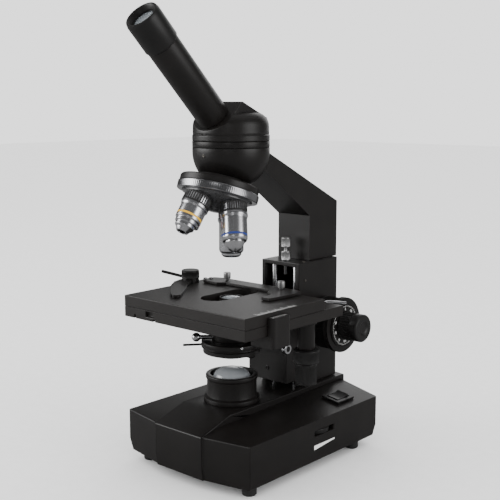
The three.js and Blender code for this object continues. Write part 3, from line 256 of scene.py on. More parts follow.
def stand_for(obj, node, look=None):
    """Shows a detailed piece in place of the CAD node that it was made from."""
    finish_piece(obj, body_of[node], slot_of[node], look)
    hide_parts(node)
    return obj


def along(origin, direction):
    """Places a piece that is built along its own Z axis at the origin, turned to the direction."""
    return Matrix.Translation(origin) @ UP.rotation_difference(Vector(direction)).to_matrix().to_4x4()


def unique_points(node):
    found = {tuple(round(c, 6) for c in v.co) for v in frame["nodes"][node].data.vertices}
    return [Vector(point) for point in found]


def centroid(node):
    points = unique_points(node)
    return sum(points, Vector()) / len(points)


def turned_profile(node, origin, direction):
    """The (radius, height) outline of a turned CAD node, read from the half-plane of its widest corner."""
    back = along(origin, direction).inverted()
    mesh = frame["nodes"][node].data
    local = [back @ v.co for v in mesh.vertices]
    outermost = max(local, key=lambda p: p.xy.length)
    start = math.atan2(outermost.y, outermost.x)
    keys = {}
    for index, point in enumerate(local):
        radius = point.xy.length
        turn = abs(math.remainder(math.atan2(point.y, point.x) - start, 2 * math.pi))
        if radius < 2e-5 or turn < 0.02:
            keys[index] = (0.0 if radius < 2e-5 else round(radius, 5), round(point.z, 5))
    links = {}
    for edge in mesh.edges:
        ends = [keys.get(index) for index in edge.vertices]
        if None in ends or ends[0] == ends[1] or ends[0][0] + ends[1][0] == 0:
            continue
        links.setdefault(ends[0], set()).add(ends[1])
        links.setdefault(ends[1], set()).add(ends[0])
    corners = set(keys.values())
    return ordered_outline(corners, links)


def radius_at(profile, height):
    """The outer radius of an outline at a height."""
    found = []
    for (r1, h1), (r2, h2) in zip(profile, profile[1:]):
        if min(h1, h2) <= height <= max(h1, h2) and h1 != h2:
            found.append(r1 + (r2 - r1) * (height - h1) / (h2 - h1))
    return max(found)


def ordered_outline(corners, links):
    """Walks from corner to corner along the edges, and over flat faces where an edge is missing."""
    on_axis = sorted(c for c in corners if c[0] == 0)
    current = on_axis[0] if on_axis else min(corners, key=lambda c: (c[1], c[0]))
    path = [current]
    left = set(corners) - {current}
    while left:
        near = [c for c in links.get(current, ()) if c in left]
        flat = [c for c in left if abs(c[1] - current[1]) < 2e-5]
        pick = near or flat or list(left)
        current = min(pick, key=lambda c: math.dist(c, path[-1]))
        path.append(current)
        left.discard(current)
    return path if on_axis else path + [path[0]]


def rounded(profile, corner):
    """The outline with its sharp corners cut back and rounded."""
    closed = profile[0] == profile[-1]
    points = profile[:-1] if closed else profile
    count = len(points)
    result = []
    for i, point in enumerate(points):
        if not closed and i in (0, count - 1):
            result.append(point)
            continue
        here = Vector(point)
        before = Vector(points[i - 1]) - here
        after = Vector(points[(i + 1) % count]) - here
        reach = min(corner, 0.4 * before.length, 0.4 * after.length)
        if reach < 1e-6 or before.angle(-after) < 0.3:
            result.append(point)
            continue
        first = here + before.normalized() * reach
        last = here + after.normalized() * reach
        waist = (first + last) / 2 * 0.45 + here * 0.55
        result += [tuple(first), tuple(waist), tuple(last)]
    return result + [result[0]] if closed else result


def with_knurls(profile, bands):
    """Adds the rows of each knurled band (from, to, count, depth), measured from the lowest height."""
    rows = [(radius, height, 0, 0.0) for radius, height in profile]
    lowest = min(height for _, height in profile)
    widest = max(radius for radius, _ in profile)
    for start, end, count, depth in bands:
        low, high = lowest + start, lowest + end
        for i in range(len(rows) - 1):
            (r1, z1, *_), (r2, z2, *_) = rows[i], rows[i + 1]
            straight = abs(r1 - r2) < 0.08 * widest and min(r1, r2) > 0.6 * widest
            if not straight or min(z1, z2) > low or max(z1, z2) < high:
                continue
            edge = 0.12 * (high - low)
            heights = [low, low + edge, high - edge, high]
            if z1 > z2:
                heights.reverse()
            cuts = [0.0, depth, depth, 0.0]
            share = [(h - z1) / (z2 - z1) for h in heights]
            rows[i + 1:i + 1] = [
                (r1 + (r2 - r1) * s, h, count, cut) for s, h, cut in zip(share, heights, cuts)
            ]
            break
    return rows


def lathe(name, profile, place, corner=0.0004, bands=(), sides=SMOOTH_TURN):
    """A turned piece about the local Z axis, with rounded corners and knurled bands."""
    rows = with_knurls(rounded(profile, corner), bands)
    if bands:
        sides = 4 * max(count for _, _, count, _ in bands)
    closed = profile[0] == profile[-1]
    if closed:
        rows = rows[:-1]
    wave = [0.0, 0.7, 1.0, 0.7]
    points = []
    for radius, height, count, depth in rows:
        for j in range(sides):
            angle = 2 * math.pi * j / sides
            groove = depth * wave[j % 4] if count else 0.0
            reach = max(radius - groove, 0.0)
            points.append(place @ Vector((reach * math.cos(angle), reach * math.sin(angle), height)))
    faces = []
    spans = len(rows) if closed else len(rows) - 1
    for i in range(spans):
        a = i * sides
        b = (i + 1) % len(rows) * sides
        for j in range(sides):
            k = (j + 1) % sides
            faces.append((a + j, a + k, b + k, b + j))
    return smooth(new_object(name, points, faces), 38)


def spun(node, direction=UP, origin=None, corner=0.0004, bands=(), look=None):
    """A turned CAD node made again with round sides, rounded corners and its knurling."""
    origin = origin or centroid(node)
    profile = turned_profile(node, origin, direction)
    obj = lathe(f"{node}_turned", profile, along(origin, direction), corner, bands)
    return stand_for(obj, node, look)


def weigh_edges(bm, width, angle, seam):
    """Each sharp edge's share of the rounding: less beside a narrow step or along a close seam."""
    layer = bm.edges.layers.float.new("bevel_weight_edge")
    for edge in bm.edges:
        if len(edge.link_faces) != 2 or edge.calc_face_angle(0) < angle:
            continue
        beside = [other.calc_length() for vert in edge.verts for other in vert.link_edges if other != edge]
        share = min(1.0, 0.4 * min(beside) / width)
        if seam is not None and all(abs(vert.co.z - seam) < 0.5 * MM for vert in edge.verts):
            share = min(share, 0.2 * MM / width)
        edge[layer] = share


def softened(node, width, segments=3, angle=28, seam=None, look=None):
    """A flat-sided CAD node with its edges rounded."""
    mesh = frame["nodes"][node].data.copy()
    bm = bmesh.new()
    bm.from_mesh(mesh)
    bmesh.ops.remove_doubles(bm, verts=bm.verts, dist=2e-6)
    bmesh.ops.dissolve_limit(bm, angle_limit=0.01, verts=bm.verts, edges=bm.edges)
    weigh_edges(bm, width, math.radians(angle), seam)
    bm.to_mesh(mesh)
    bm.free()
    obj = object_of(f"{node}_softened", mesh)
    bevel = obj.modifiers.new("edges", "BEVEL")
    bevel.width = width
    bevel.segments = segments
    bevel.limit_method = "WEIGHT"
    bevel.harden_normals = True
    smooth(obj, 30)
    return stand_for(obj, node, look)


def box_piece(name, centre, size, turn=None, bevel=0.0003):
    """A small block with rounded edges."""
    bm = bmesh.new()
    bmesh.ops.create_cube(bm, size=1)
    bmesh.ops.scale(bm, vec=size, verts=bm.verts)
    bmesh.ops.bevel(bm, geom=bm.edges[:], offset=min(bevel, 0.3 * min(size)), segments=2, affect="EDGES")
    place = Matrix.Translation(centre) @ (turn or Matrix.Identity(4))
    bmesh.ops.transform(bm, matrix=place, verts=bm.verts)
    mesh = bpy.data.meshes.new(name)
    bm.to_mesh(mesh)
    bm.free()
    return object_of(name, mesh)


def rod_piece(name, start, end, radius, sides=24):
    """A round rod with domed ends between two points."""
    length = (end - start).length
    profile = [(0, 0), (0.7 * radius, 0), (radius, 0.4 * radius), (radius, length - 0.4 * radius)]
    profile += [(0.7 * radius, length), (0, length)]
    return lathe(name, profile, along(start, end - start), 0.2 * radius, sides=sides)


def screw_piece(name, place, radius, height, body, slot="polished_chrome", look=None):
    """A domed screw head with a round socket, standing on the origin of its placing matrix."""
    socket = 0.45 * radius
    profile = [(0, 0.35 * height), (socket, 0.4 * height), (socket, height), (0.8 * radius, height)]
    profile += [(radius, 0.6 * height), (radius, 0), (0, 0)]
    return finish_piece(lathe(name, profile, place, 0.1 * radius, sides=32), body, slot, look)


def small_screw(name, place, radius, height):
    """A dull screw head in one of the castings of the stand."""
    return screw_piece(name, place, radius, height, "stand", "satin_steel", DULL_METAL)


def joined(objects, name):
    """Several pieces of one material as one object."""
    bm = bmesh.new()
    for obj in objects:
        bm.from_mesh(obj.data)
    mesh = bpy.data.meshes.new(name)
    bm.to_mesh(mesh)
    bm.free()
    for obj in objects:
        bpy.data.objects.remove(obj)
    return object_of(name, mesh)


# ------------------------------------------------------------------ base and lamp

def build_base():
    softened("base_body", 1.3 * MM, 4)
    for number in range(1, 5):
        spun(f"rubber_foot_{number}", corner=0.6 * MM)
    spun("lamp_housing", corner=0.5 * MM)
    spun("collector_lens", corner=0.8 * MM)
    spun("power_inlet", Vector((0, 1, 0)), corner=0.3 * MM)
    grip = [(1.5 * MM, 6.1 * MM, 60, 0.5 * MM)]
    wheel = middle("brightness_wheel")
    spun("brightness_wheel", origin=wheel, corner=0.3 * MM, bands=grip)
    softened("switch_bezel", 0.5 * MM)
    softened("switch_rocker", 0.4 * MM)
    build_brightness_mark()


def build_brightness_mark():
    """The tapered white mark under the brightness wheel, thick towards the front."""
    low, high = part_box("brightness_wheel")
    wall = high.x - 0.8 * MM
    front, rear = low.y, high.y
    top, foot = low.z - 5.5 * MM, low.z - 8.5 * MM
    points = []
    for x in (wall - 0.4 * MM, wall + 0.15 * MM):
        points += [(x, front, foot - 1 * MM), (x, front, top), (x, rear, top), (x, rear, top - 1.2 * MM)]
    faces = [(0, 1, 2, 3), (4, 7, 6, 5), (0, 4, 5, 1), (1, 5, 6, 2), (2, 6, 7, 3), (3, 7, 4, 0)]
    finish_piece(new_object("brightness_mark", points, faces), "stand", "casting_paint", WHITE_MARK)


# ------------------------------------------------------------------ stand and focus knobs

def build_stand():
    softened("focus_housing", 0.8 * MM)
    softened("arm", 1.1 * MM, 4)
    for side in ("left", "right"):
        spun(f"guide_rod_{side}", corner=0.4 * MM)
    low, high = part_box("stop_screw")
    tall = high.z - low.z
    lower_nut = (14.6 * MM, 21.6 * MM, 22, 0.35 * MM)
    upper_nut = (tall - 8.2 * MM, tall - 0.8 * MM, 22, 0.35 * MM)
    spun("stop_screw", corner=0.3 * MM, bands=[lower_nut, upper_nut])
    low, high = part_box("focus_housing")
    top_screw = Vector((high.x - 3.7 * MM, low.y + 11.8 * MM, high.z - 0.1 * MM))
    small_screw("housing_top_screw", along(top_screw, UP), 1.4 * MM, 0.8 * MM)
    side_screw = Vector((high.x - 0.1 * MM, low.y + 9.5 * MM, high.z - 17 * MM))
    small_screw("housing_side_screw", along(side_screw, RIGHT), 1.3 * MM, 0.6 * MM)


DIAL_DIVISIONS = 100
MICRONS_PER_DIVISION = 2


def build_focus():
    knurl = [(5.2 * MM, 19.6 * MM, 90, 0.55 * MM)]
    flutes = [(1 * MM, 12.5 * MM, 32, 0.8 * MM)]
    for side, sign in (("right", 1), ("left", -1)):
        for kind, bands in (("coarse", knurl), ("fine", flutes)):
            node = f"{kind}_knob_right"
            profile = turned_profile(node, FOCUS_CENTRE, RIGHT)
            place = along(FOCUS_CENTRE, RIGHT * sign)
            obj = lathe(f"{kind}_knob_{side}_turned", profile, place, 0.5 * MM, bands)
            stand_for(obj, f"{kind}_knob_{side}")
    build_dial()
    build_tension_ring()


def dial_numeral(text, turn, face, reach):
    """A small numeral lying on the dial with its top towards the rim."""
    curve = bpy.data.curves.new("numeral", "FONT")
    curve.body = text
    curve.size = 3 * MM
    curve.align_x = "CENTER"
    curve.align_y = "CENTER"
    curve.extrude = 0.05 * MM
    numeral = object_of("numeral", curve)
    upright = Matrix(((0, 0, 1), (1, 0, 0), (0, 1, 0))).to_4x4()
    outward = Matrix.Translation((face, 0, reach))
    numeral.matrix_world = Matrix.Translation(FOCUS_CENTRE) @ turn @ outward @ upright
    mesh = baked_mesh(numeral)
    mesh.transform(numeral.matrix_world)
    bpy.data.objects.remove(numeral)
    return object_of("numeral", mesh)


def build_dial():
    """The graduated ring beside the tension ring, with white lines and numerals around it."""
    spun("fine_dial", RIGHT, FOCUS_CENTRE, corner=0.2 * MM)
    low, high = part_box("fine_dial")
    outer = (high.z - low.z) / 2
    face = high.x - FOCUS_CENTRE.x
    marks = []
    for i in range(DIAL_DIVISIONS):
        turn = Matrix.Rotation(2 * math.pi * i / DIAL_DIVISIONS, 4, "X")
        length = (1.9 if i % 5 == 0 else 1.1) * MM
        centre = FOCUS_CENTRE + turn @ Vector((0, 0, outer - 0.35 * MM - length / 2))
        centre.x = high.x
        marks.append(box_piece("line", centre, (0.12 * MM, 0.22 * MM, length), turn, 0.02 * MM))
        if i % 10 == 0:
            marks.append(dial_numeral(str(MICRONS_PER_DIVISION * i), turn, face, outer - 4 * MM))
    finish_piece(joined(marks, "dial_marks"), "fine_focus", "black_alloy", WHITE_MARK)


def build_tension_ring():
    """The black friction ring, its raised face ring and the steel rod that turns it."""
    low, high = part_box("tension_ring")
    radius = FOCUS_CENTRE.z - low.z
    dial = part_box("fine_dial")
    inner = (dial[1].z - dial[0].z) / 2 + 0.3 * MM
    face = dial[0].x - 0.3 * MM - FOCUS_CENTRE.x
    start = low.x - FOCUS_CENTRE.x
    ring = [(3 * MM, start), (radius, start), (radius, face), (3 * MM, face), (3 * MM, start)]
    knurl = [(0.8 * MM, 4 * MM, 96, 0.4 * MM)]
    body = lathe("tension_ring_turned", ring, along(FOCUS_CENTRE, RIGHT), 0.5 * MM, knurl)
    stand_for(body, "tension_ring")
    bright = [(inner, face - 0.5 * MM), (inner + 1.5 * MM, face - 0.5 * MM)]
    bright += [(inner + 1.5 * MM, face + 1.4 * MM), (inner, face + 1.4 * MM), bright[0]]
    rim = lathe("tension_face_ring", bright, along(FOCUS_CENTRE, RIGHT), 0.3 * MM)
    finish_piece(rim, "tension", "black_alloy")
    rod_radius = 1.65 * MM
    x = high.x - 1.7 * MM
    start = Vector((x, FOCUS_CENTRE.y + 1 * MM, FOCUS_CENTRE.z + inner + 1.8 * MM))
    tip = Vector((x, low.y + 1.9 * MM, start.z + 6 * MM))
    finish_piece(rod_piece("tension_rod", start, tip, rod_radius), "tension", "polished_chrome")


# ------------------------------------------------------------------ stage

def build_stage():
    softened("stage_base", 0.7 * MM, seam=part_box("stage_base")[1].z)
    softened("stage_plate", 0.7 * MM, seam=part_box("stage_plate")[0].z)
    softened("stage_carrier", 0.6 * MM)
    softened("scale_block", 0.6 * MM)
    softened("slide_bar", 0.5 * MM)
    build_finger()
    for side in ("left", "right"):
        spun(f"thumb_screw_{side}", corner=0.3 * MM, bands=[(2 * MM, 7 * MM, 24, 0.3 * MM)])
    spun("drive_sleeve", corner=0.4 * MM)
    spun("y_knob", corner=0.5 * MM, bands=[(1.2 * MM, 11 * MM, 72, 0.4 * MM)])
    spun("x_knob", corner=0.5 * MM, bands=[(1.4 * MM, 18.4 * MM, 60, 0.35 * MM)])
    build_stage_marks()
    low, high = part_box("stage_carrier")
    socket = Vector((OPTICAL_AXIS.x, low.y + 0.1 * MM, low.z + 12 * MM))
    front = Vector((0, -1, 0))
    screw_piece("carrier_screw", along(socket, front), 2.2 * MM, 0.7 * MM, "stage", "black_alloy")


def build_finger():
    """The sprung finger with its knurled knob and bent lever, and two socket screws on the slide bar."""
    softened("slide_finger", 0.35 * MM)
    pivot = Vector(joints["finger_open"]["pos_m"])
    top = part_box("slide_finger")[1].z
    ring = [(7.9 * MM, 0), (8.55 * MM, 0), (8.55 * MM, 6.4 * MM), (7.9 * MM, 6.4 * MM), (7.9 * MM, 0)]
    place = Matrix.Translation((pivot.x, pivot.y, top - 7.6 * MM))
    knurl = lathe("finger_knob_knurl", ring, place, 0.2 * MM, [(0.6 * MM, 5.8 * MM, 60, 0.35 * MM)])
    finish_piece(knurl, "finger", "black_plastic")
    bar_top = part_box("slide_bar")[1].z
    for number, (dx, dy) in enumerate(((10.5, 9.5), (13.5, 14.5)), 1):
        spot = Vector((pivot.x + dx * MM, pivot.y + dy * MM, bar_top - 0.1 * MM))
        screw_piece(f"holder_screw_{number}", along(spot, UP), 1.9 * MM, 1.5 * MM, "slide_holder")


STAGE_TICKS = 29
STAGE_TICK_STEP = 1.7 * MM
VERNIER_TICKS = 10
VERNIER_STEP = 1.9 * MM


def build_stage_marks():
    """White graduations along the right edge of the stage plate and on the scale block beside it."""
    low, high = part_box("stage_plate")
    block_low, block_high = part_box("scale_block")
    ticks = []
    for i in range(STAGE_TICKS):
        length = (6.5 if i % 5 == 0 else 3.6) * MM
        y = block_low.y - 8 * MM + i * STAGE_TICK_STEP
        centre = Vector((high.x - 1.2 * MM - length / 2, y, high.z))
        ticks.append(box_piece("tick", centre, (length, 0.32 * MM, 0.1 * MM), None, 0.02 * MM))
    finish_piece(joined(ticks, "stage_scale"), "upper_stage", "stage_paint", WHITE_MARK)
    vernier = []
    for i in range(VERNIER_TICKS):
        y = block_low.y + 3 * MM + i * VERNIER_STEP
        centre = Vector((block_low.x + 20.6 * MM, y, block_high.z))
        vernier.append(box_piece("tick", centre, (3 * MM, 0.3 * MM, 0.1 * MM), None, 0.02 * MM))
    finish_piece(joined(vernier, "vernier_scale"), "stage", "casting_paint", WHITE_MARK)


# ------------------------------------------------------------------ condenser

def build_condenser():
    softened("condenser_arm", 0.5 * MM)
    spun("condenser_body", corner=0.5 * MM)
    spun("condenser_lens", corner=0.8 * MM)
    spun("condenser_knob", RIGHT, corner=0.5 * MM, bands=[(15.7 * MM, 18.4 * MM, 28, 0.3 * MM)])
    low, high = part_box("condenser_knob")
    button = Vector((high.x, (low.y + high.y) / 2, (low.z + high.z) / 2))
    disc = [(0, 0.1 * MM), (2.4 * MM, 0.1 * MM), (2.9 * MM, -0.1 * MM), (3.6 * MM, -0.1 * MM)]
    disc += [(3.6 * MM, -1.4 * MM), (0, -1.4 * MM)]
    centre = lathe("condenser_knob_centre", disc, along(button, RIGHT), 0.15 * MM, sides=48)
    finish_piece(centre, "condenser_drive", "black_alloy")
    outward = (centroid("centring_screw") - OPTICAL_AXIS).xy.normalized().to_3d()
    spun("centring_screw", outward, corner=0.3 * MM)
    softened("filter_holder", 0.3 * MM)
    build_iris()


def build_iris():
    """The iris ring with one groove around its side, three small screws, and the rod that turns it."""
    low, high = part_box("iris_ring")
    radius = high.x - OPTICAL_AXIS.x
    body_low, body_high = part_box("condenser_body")
    bore = (body_high.x - body_low.x) / 2 + 0.3 * MM
    tall = high.z - low.z
    ring = [(bore, 0), (radius - 1.2 * MM, 0), (radius, 1.2 * MM), (radius, 1.8 * MM)]
    ring += [(radius - 0.5 * MM, 2 * MM), (radius - 0.5 * MM, 2.5 * MM), (radius, 2.7 * MM)]
    ring += [(radius, tall - 1 * MM), (radius - 1 * MM, tall), (bore, tall), (bore, 0)]
    place = Matrix.Translation((OPTICAL_AXIS.x, OPTICAL_AXIS.y, low.z))
    body = lathe("iris_ring_turned", ring, place, 0.4 * MM)
    stand_for(body, "iris_ring")
    centre = Vector((OPTICAL_AXIS.x, OPTICAL_AXIS.y, (low.z + high.z) / 2))
    points = unique_points("iris_ring")
    reach = max((point - centre).xy.length for point in points)
    end_cap = [point for point in points if (point - centre).xy.length > reach - 1 * MM]
    tip = sum(end_cap, Vector()) / len(end_cap)
    start = centre + (tip - centre).normalized() * (radius - 2 * MM)
    finish_piece(rod_piece("iris_rod", start, tip, 1.05 * MM), "iris", "black_alloy")
    for number, angle in enumerate((-28, 92, 212), 1):
        outward = Vector((math.cos(math.radians(angle)), math.sin(math.radians(angle)), 0))
        spot = centre + outward * (radius - 0.2 * MM) + UP * 1.5 * MM
        screw_piece(f"iris_screw_{number}", along(spot, outward), 1.3 * MM, 0.7 * MM, "iris")


# ------------------------------------------------------------------ nosepiece and objectives

SHOULDER = 4 * MM  # how far an objective's thread stands above its shoulder
COLLAR_TOP = 0.8 * MM  # from the shoulder down
COLLAR_ENDS = {  # from the shoulder down
    "objective_4x": 8.6 * MM,
    "objective_10x": 9.8 * MM,
    "objective_40x": 9 * MM,
    "objective_100x": 8.6 * MM,
}
RINGS = {"objective_4x": 19 * MM, "objective_10x": 20.5 * MM, "objective_40x": 28.5 * MM}  # the same
RING_HEIGHT = 1.8 * MM


def build_nosepiece():
    grip = [(1.3 * MM, 6 * MM, 120, 0.12 * MM)]
    spun("turret_ring", TURRET_AXIS, corner=0.5 * MM, bands=grip, look=TURRET_CHROME)
    softened("turret_cone", 0.3 * MM, 2, 40, look=TURRET_ENAMEL)
    softened("nosepiece_mount", 0.4 * MM, 3, 40)
    for node in COLLAR_ENDS:
        build_objective(node)
    for node in ("objective_nose_40x", "objective_nose_100x"):
        spun(node, centroid(node) - TURRET_APEX, corner=0.3 * MM)


def build_objective(node):
    """A bright barrel, a black knurled collar under the turret and a coloured ring."""
    direction = (centroid(node) - TURRET_APEX).normalized()
    origin = centroid(node)
    place = along(origin, direction)
    profile = turned_profile(node, origin, direction)
    shoulder = min(height for _, height in profile) + SHOULDER
    stand_for(lathe(f"{node}_turned", profile, place, 0.35 * MM), node, SATIN_CHROME)
    low, high = shoulder + COLLAR_TOP, shoulder + COLLAR_ENDS[node]
    radius = max(radius_at(profile, low), radius_at(profile, high)) + 0.6 * MM
    collar = [(9 * MM, low), (radius, low), (radius, high), (9 * MM, high), (9 * MM, low)]
    band = [(0.6 * MM, high - low - 0.6 * MM, 34, 0.8 * MM)]
    knurled = lathe(f"{node}_collar", collar, place, 0.3 * MM, band)
    finish_piece(knurled, "nosepiece", "black_alloy", COLLAR_ENAMEL)
    if node in RINGS:
        top = shoulder + RINGS[node]
        end = top + RING_HEIGHT
        wide = radius_at(profile, top) + 0.08 * MM
        narrow = radius_at(profile, end) + 0.08 * MM
        ring = [(7 * MM, top), (wide, top), (narrow, end), (7 * MM, end), (7 * MM, top)]
        coloured = lathe(f"{node}_colour_ring", ring, place, 0.15 * MM)
        finish_piece(coloured, "nosepiece", "polished_chrome", RING_PAINTS[node])


# ------------------------------------------------------------------ head and eyepiece

def cast_in_one(obj, smoothing, voxel):
    """Turns a boolean build into one even surface whose edges are rounded like a casting's."""
    remesh = obj.modifiers.new("remesh", "REMESH")
    remesh.mode = "VOXEL"
    remesh.voxel_size = voxel
    relax = obj.modifiers.new("relax", "SMOOTH")
    relax.factor = 0.5
    relax.iterations = smoothing
    bake_modifiers(obj)
    for polygon in obj.data.polygons:
        polygon.use_smooth = True
    return obj


def boolean(obj, other, operation):
    modifier = obj.modifiers.new(operation, "BOOLEAN")
    modifier.operation = operation
    modifier.solver = "EXACT"
    modifier.object = other
    bake_modifiers(obj)
    bpy.data.objects.remove(other)
    return obj


def cylinder(name, radius, height, place):
    return lathe(name, [(0, 0), (radius, 0), (radius, height), (0, height)], place, 0)


def prism_box(centre, half_width, outline):
    """A block of the given side outline, as (y, z) points from the centre."""
    count = len(outline)
    points = [
        (centre.x + x, centre.y + y, centre.z + z) for x in (-half_width, half_width) for y, z in outline
    ]
    faces = [tuple(range(count)), tuple(range(2 * count - 1, count - 1, -1))]
    faces += [(i, (i + 1) % count, count + (i + 1) % count, count + i) for i in range(count)]
    return new_object("prism_box", points, faces)


def build_viewing_head():
    """The round turning head with the sloping prism box that carries the tube."""
    low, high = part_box("viewing_head")
    radius = (high.x - low.x) / 2
    tall = high.z - low.z
    foot = Vector((OPTICAL_AXIS.x, OPTICAL_AXIS.y, low.z))
    corner = 12 * MM
    dome = [(0, 0), (radius, 0), (radius, 5 * MM), (radius - 0.9 * MM, 5.2 * MM)]
    dome += [(radius - 0.9 * MM, 6 * MM), (radius - 0.4 * MM, 6.4 * MM)]
    centre = (radius - 0.6 * MM - corner, 12.5 * MM)
    for step in range(9):
        angle = math.radians(80 * step / 8)
        dome.append((centre[0] + corner * math.cos(angle), centre[1] + corner * math.sin(angle)))
    dome += [(8 * MM, 26 * MM), (0, 26.6 * MM)]
    head = lathe("viewing_head_cast", dome, Matrix.Translation(foot), 0.2 * MM)
    outline = [(-60 * MM, 3 * MM), (25 * MM, 3 * MM), (25 * MM, tall - 14 * MM)]
    outline += [(-7 * MM, tall), (-60 * MM, tall)]
    box = prism_box(foot, 20.6 * MM, outline)
    boolean(box, cylinder("bound", radius - 0.9 * MM, 50 * MM, Matrix.Translation(foot)), "INTERSECT")
    boolean(head, box, "UNION")
    tube_start = centroid("eyepiece_tube")
    tube_low = turned_profile("eyepiece_tube", tube_start, TUBE_AXIS)
    seat = tube_start + TUBE_AXIS * (min(h for _, h in tube_low) + 7 * MM)
    boolean(head, cylinder("cutter", 70 * MM, 60 * MM, along(seat, TUBE_AXIS)), "DIFFERENCE")
    cast_in_one(head, 1, 0.5 * MM)
    stand_for(head, "viewing_head")


def build_bowl():
    """The fixed bowl between the arm and the nosepiece."""
    low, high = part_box("head_bowl")
    radius = (high.x - low.x) / 2
    centre = Vector((OPTICAL_AXIS.x, OPTICAL_AXIS.y, high.z - 3.5 * MM))
    outline = [(0, -radius)]
    for step in range(1, 25):
        angle = math.radians(-90 + 90 * step / 24)
        outline.append((radius * math.cos(angle), radius * math.sin(angle)))
    outline += [(radius, 3.5 * MM), (0, 3.5 * MM)]
    bowl = lathe("head_bowl_cast", outline, Matrix.Translation(centre), 0.5 * MM, sides=144)
    boolean(bowl, cylinder("cutter", 60 * MM, 50 * MM, mount_face()), "DIFFERENCE")
    smooth(bowl, 30)
    stand_for(bowl, "head_bowl")
    angle = math.radians(269)
    outward = Vector((math.cos(angle), math.sin(angle), 0))
    spot = centre + outward * (radius - 0.4 * MM) - UP * 3 * MM
    small_screw("head_clamp_screw", along(spot, outward), 1.5 * MM, 0.6 * MM)


def mount_face():
    """Where the nosepiece's fixed disc meets the bowl, looking along the turret's axis."""
    nearest = min((point - TURRET_APEX).dot(TURRET_AXIS) for point in unique_points("nosepiece_mount"))
    return along(TURRET_APEX + TURRET_AXIS * (nearest - 0.3 * MM), TURRET_AXIS)


def build_head():
    build_bowl()
    spun("head_ring", corner=0.4 * MM)
    build_viewing_head()
    spun("eyepiece_tube", TUBE_AXIS, corner=0.3 * MM)
    spun("eyepiece_housing", TUBE_AXIS, corner=0.7 * MM)
    spun("eye_lens", TUBE_AXIS, corner=0.6 * MM)


# ------------------------------------------------------------------ studio

EVEN_LIGHT = 1.9  # the white surround, as the matt surfaces and the camera see it
DARK_ROOM = 0.1  # the same surround between the large lamps, as glossy surfaces mirror it
LARGE_LAMPS = (  # of each lamp: its direction, how many degrees it reaches, and its strength
    ((-0.75, -0.66, 0.12), 26, 2.6),
    ((0.55, -0.83, 0.2), 9, 1.4),
    ((0.95, 0.28, 0.15), 22, 1.1),
    ((-0.1, 0.2, 1.0), 38, 0.4),
    ((-0.4, 0.92, 0.2), 20, 1.5),
)
SOFT_LIGHTS = (  # of each light: its name, its place from the optical axis, its width and its watts
    ("key", (-1.3, -1.3, 0.8), 1.1, 14),
    ("rim", (1.5, 0.3, 0.5), 0.9, 5),
)
FLOOR_REACH = 6


def lamp_glow(tree, direction, toward, reach, strength):
    """How bright one lamp is in each direction, fading at its edge."""
    near = tree.nodes.new("ShaderNodeVectorMath")
    near.operation = "DOT_PRODUCT"
    near.inputs[1].default_value = Vector(toward).normalized()
    tree.links.new(direction, near.inputs[0])
    glow = tree.nodes.new("ShaderNodeMapRange")
    glow.interpolation_type = "SMOOTHSTEP"
    glow.inputs["From Min"].default_value = math.cos(math.radians(1.3 * reach))
    glow.inputs["From Max"].default_value = math.cos(math.radians(0.75 * reach))
    glow.inputs["To Max"].default_value = strength
    tree.links.new(near.outputs["Value"], glow.inputs["Value"])
    return glow.outputs["Result"]


def build_surround():
    """An even white surround, in which glossy surfaces mirror a darker room with a few large lamps."""
    world = bpy.data.worlds.new("studio")
    world.use_nodes = True
    tree = world.node_tree
    direction = tree.nodes.new("ShaderNodeTexCoord").outputs["Generated"]
    room = None
    for lamp in LARGE_LAMPS:
        add = tree.nodes.new("ShaderNodeMath")
        add.inputs[1].default_value = DARK_ROOM
        tree.links.new(lamp_glow(tree, direction, *lamp), add.inputs[0])
        if room:
            tree.links.new(room, add.inputs[1])
        room = add.outputs["Value"]
    choice = tree.nodes.new("ShaderNodeMix")
    choice.inputs["A"].default_value = EVEN_LIGHT
    glossy = tree.nodes.new("ShaderNodeLightPath").outputs["Is Glossy Ray"]
    tree.links.new(glossy, choice.inputs["Factor"])
    tree.links.new(room, choice.inputs["B"])
    background = tree.nodes["Background"]
    background.inputs["Color"].default_value = (1, 1, 1, 1)
    tree.links.new(choice.outputs["Result"], background.inputs["Strength"])
    bpy.context.scene.world = world


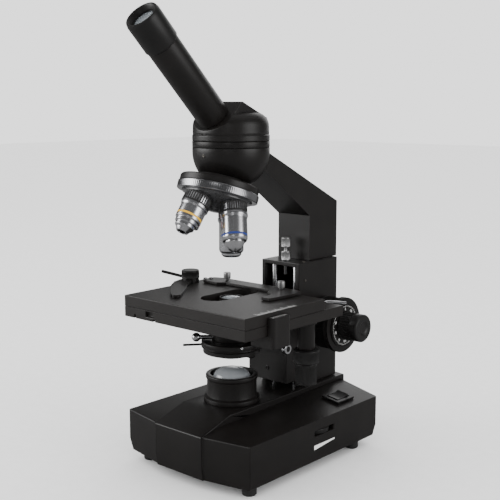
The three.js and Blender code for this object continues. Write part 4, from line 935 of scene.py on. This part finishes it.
def floor_material():
    """A pale matt floor that polished metal mirrors less brightly, as if it were in shade."""
    look = Nodes("pale_floor")
    grain = look.ramp(look.noise(90.0), 0, 1)
    pale = look.mix(grain, (0.9, 0.9, 0.9), (0.93, 0.93, 0.93))
    glossy = look.tree.nodes.new("ShaderNodeLightPath").outputs["Is Glossy Ray"]
    shaded = look.mix(glossy, (1, 1, 1), (0.16, 0.16, 0.16))
    blend = look.tree.nodes.new("ShaderNodeMix")
    blend.data_type = "RGBA"
    blend.blend_type = "MULTIPLY"
    blend.inputs["Factor"].default_value = 1
    look.link(pale, blend.inputs["A"])
    look.link(shaded, blend.inputs["B"])
    look.link(blend.outputs["Result"], look.shader.inputs["Base Color"])
    look.shader.inputs["Roughness"].default_value = 0.8
    look.shader.inputs["Specular IOR Level"].default_value = 0.1
    return look.material


def build_studio():
    """A pale floor, the surround and two large soft lights."""
    corners = [(FLOOR_REACH * x, FLOOR_REACH * y, 0) for x, y in ((-1, -1), (1, -1), (1, 1), (-1, 1))]
    floor = new_object("floor", corners, [(0, 1, 2, 3)])
    floor.data.materials.append(floor_material())
    build_surround()
    for name, place, width, power in SOFT_LIGHTS:
        data = bpy.data.lights.new(name, "AREA")
        data.size = width
        data.energy = power
        light = object_of(name, data)
        light.location = OPTICAL_AXIS + Vector(place)
        aim = OPTICAL_AXIS + Vector((0, 0, 0.2)) - light.location
        light.rotation_euler = aim.to_track_quat("-Z", "Y").to_euler()


CAMERA_PLACE = Vector((0.56029, -0.60476, 0.3278))  # from the foot of the optical axis
CAMERA_HEADING = math.radians(41.656)
CAMERA_PITCH = math.radians(8.954)  # downwards
CAMERA_LENS = 67.2  # millimetres on a 36 mm sensor


def build_camera():
    """The camera stands to the right of the front, a little above the stage, level from side to side."""
    data = bpy.data.cameras.new("camera")
    data.lens = CAMERA_LENS
    data.sensor_width = 36
    camera = object_of("camera", data)
    camera.location = OPTICAL_AXIS + CAMERA_PLACE
    camera.rotation_euler = (math.pi / 2 - CAMERA_PITCH, 0, CAMERA_HEADING)
    bpy.context.scene.camera = camera


def finish_plain_nodes():
    """The pieces that stay as the frame has them still get their looks."""
    for node, obj in frame["nodes"].items():
        obj.data.materials.clear()
        obj.data.materials.append(LOOKS[slot_of[node]])


finish_plain_nodes()
build_base()
build_stand()
build_focus()
build_stage()
build_condenser()
build_nosepiece()
build_head()
build_studio()
build_camera()
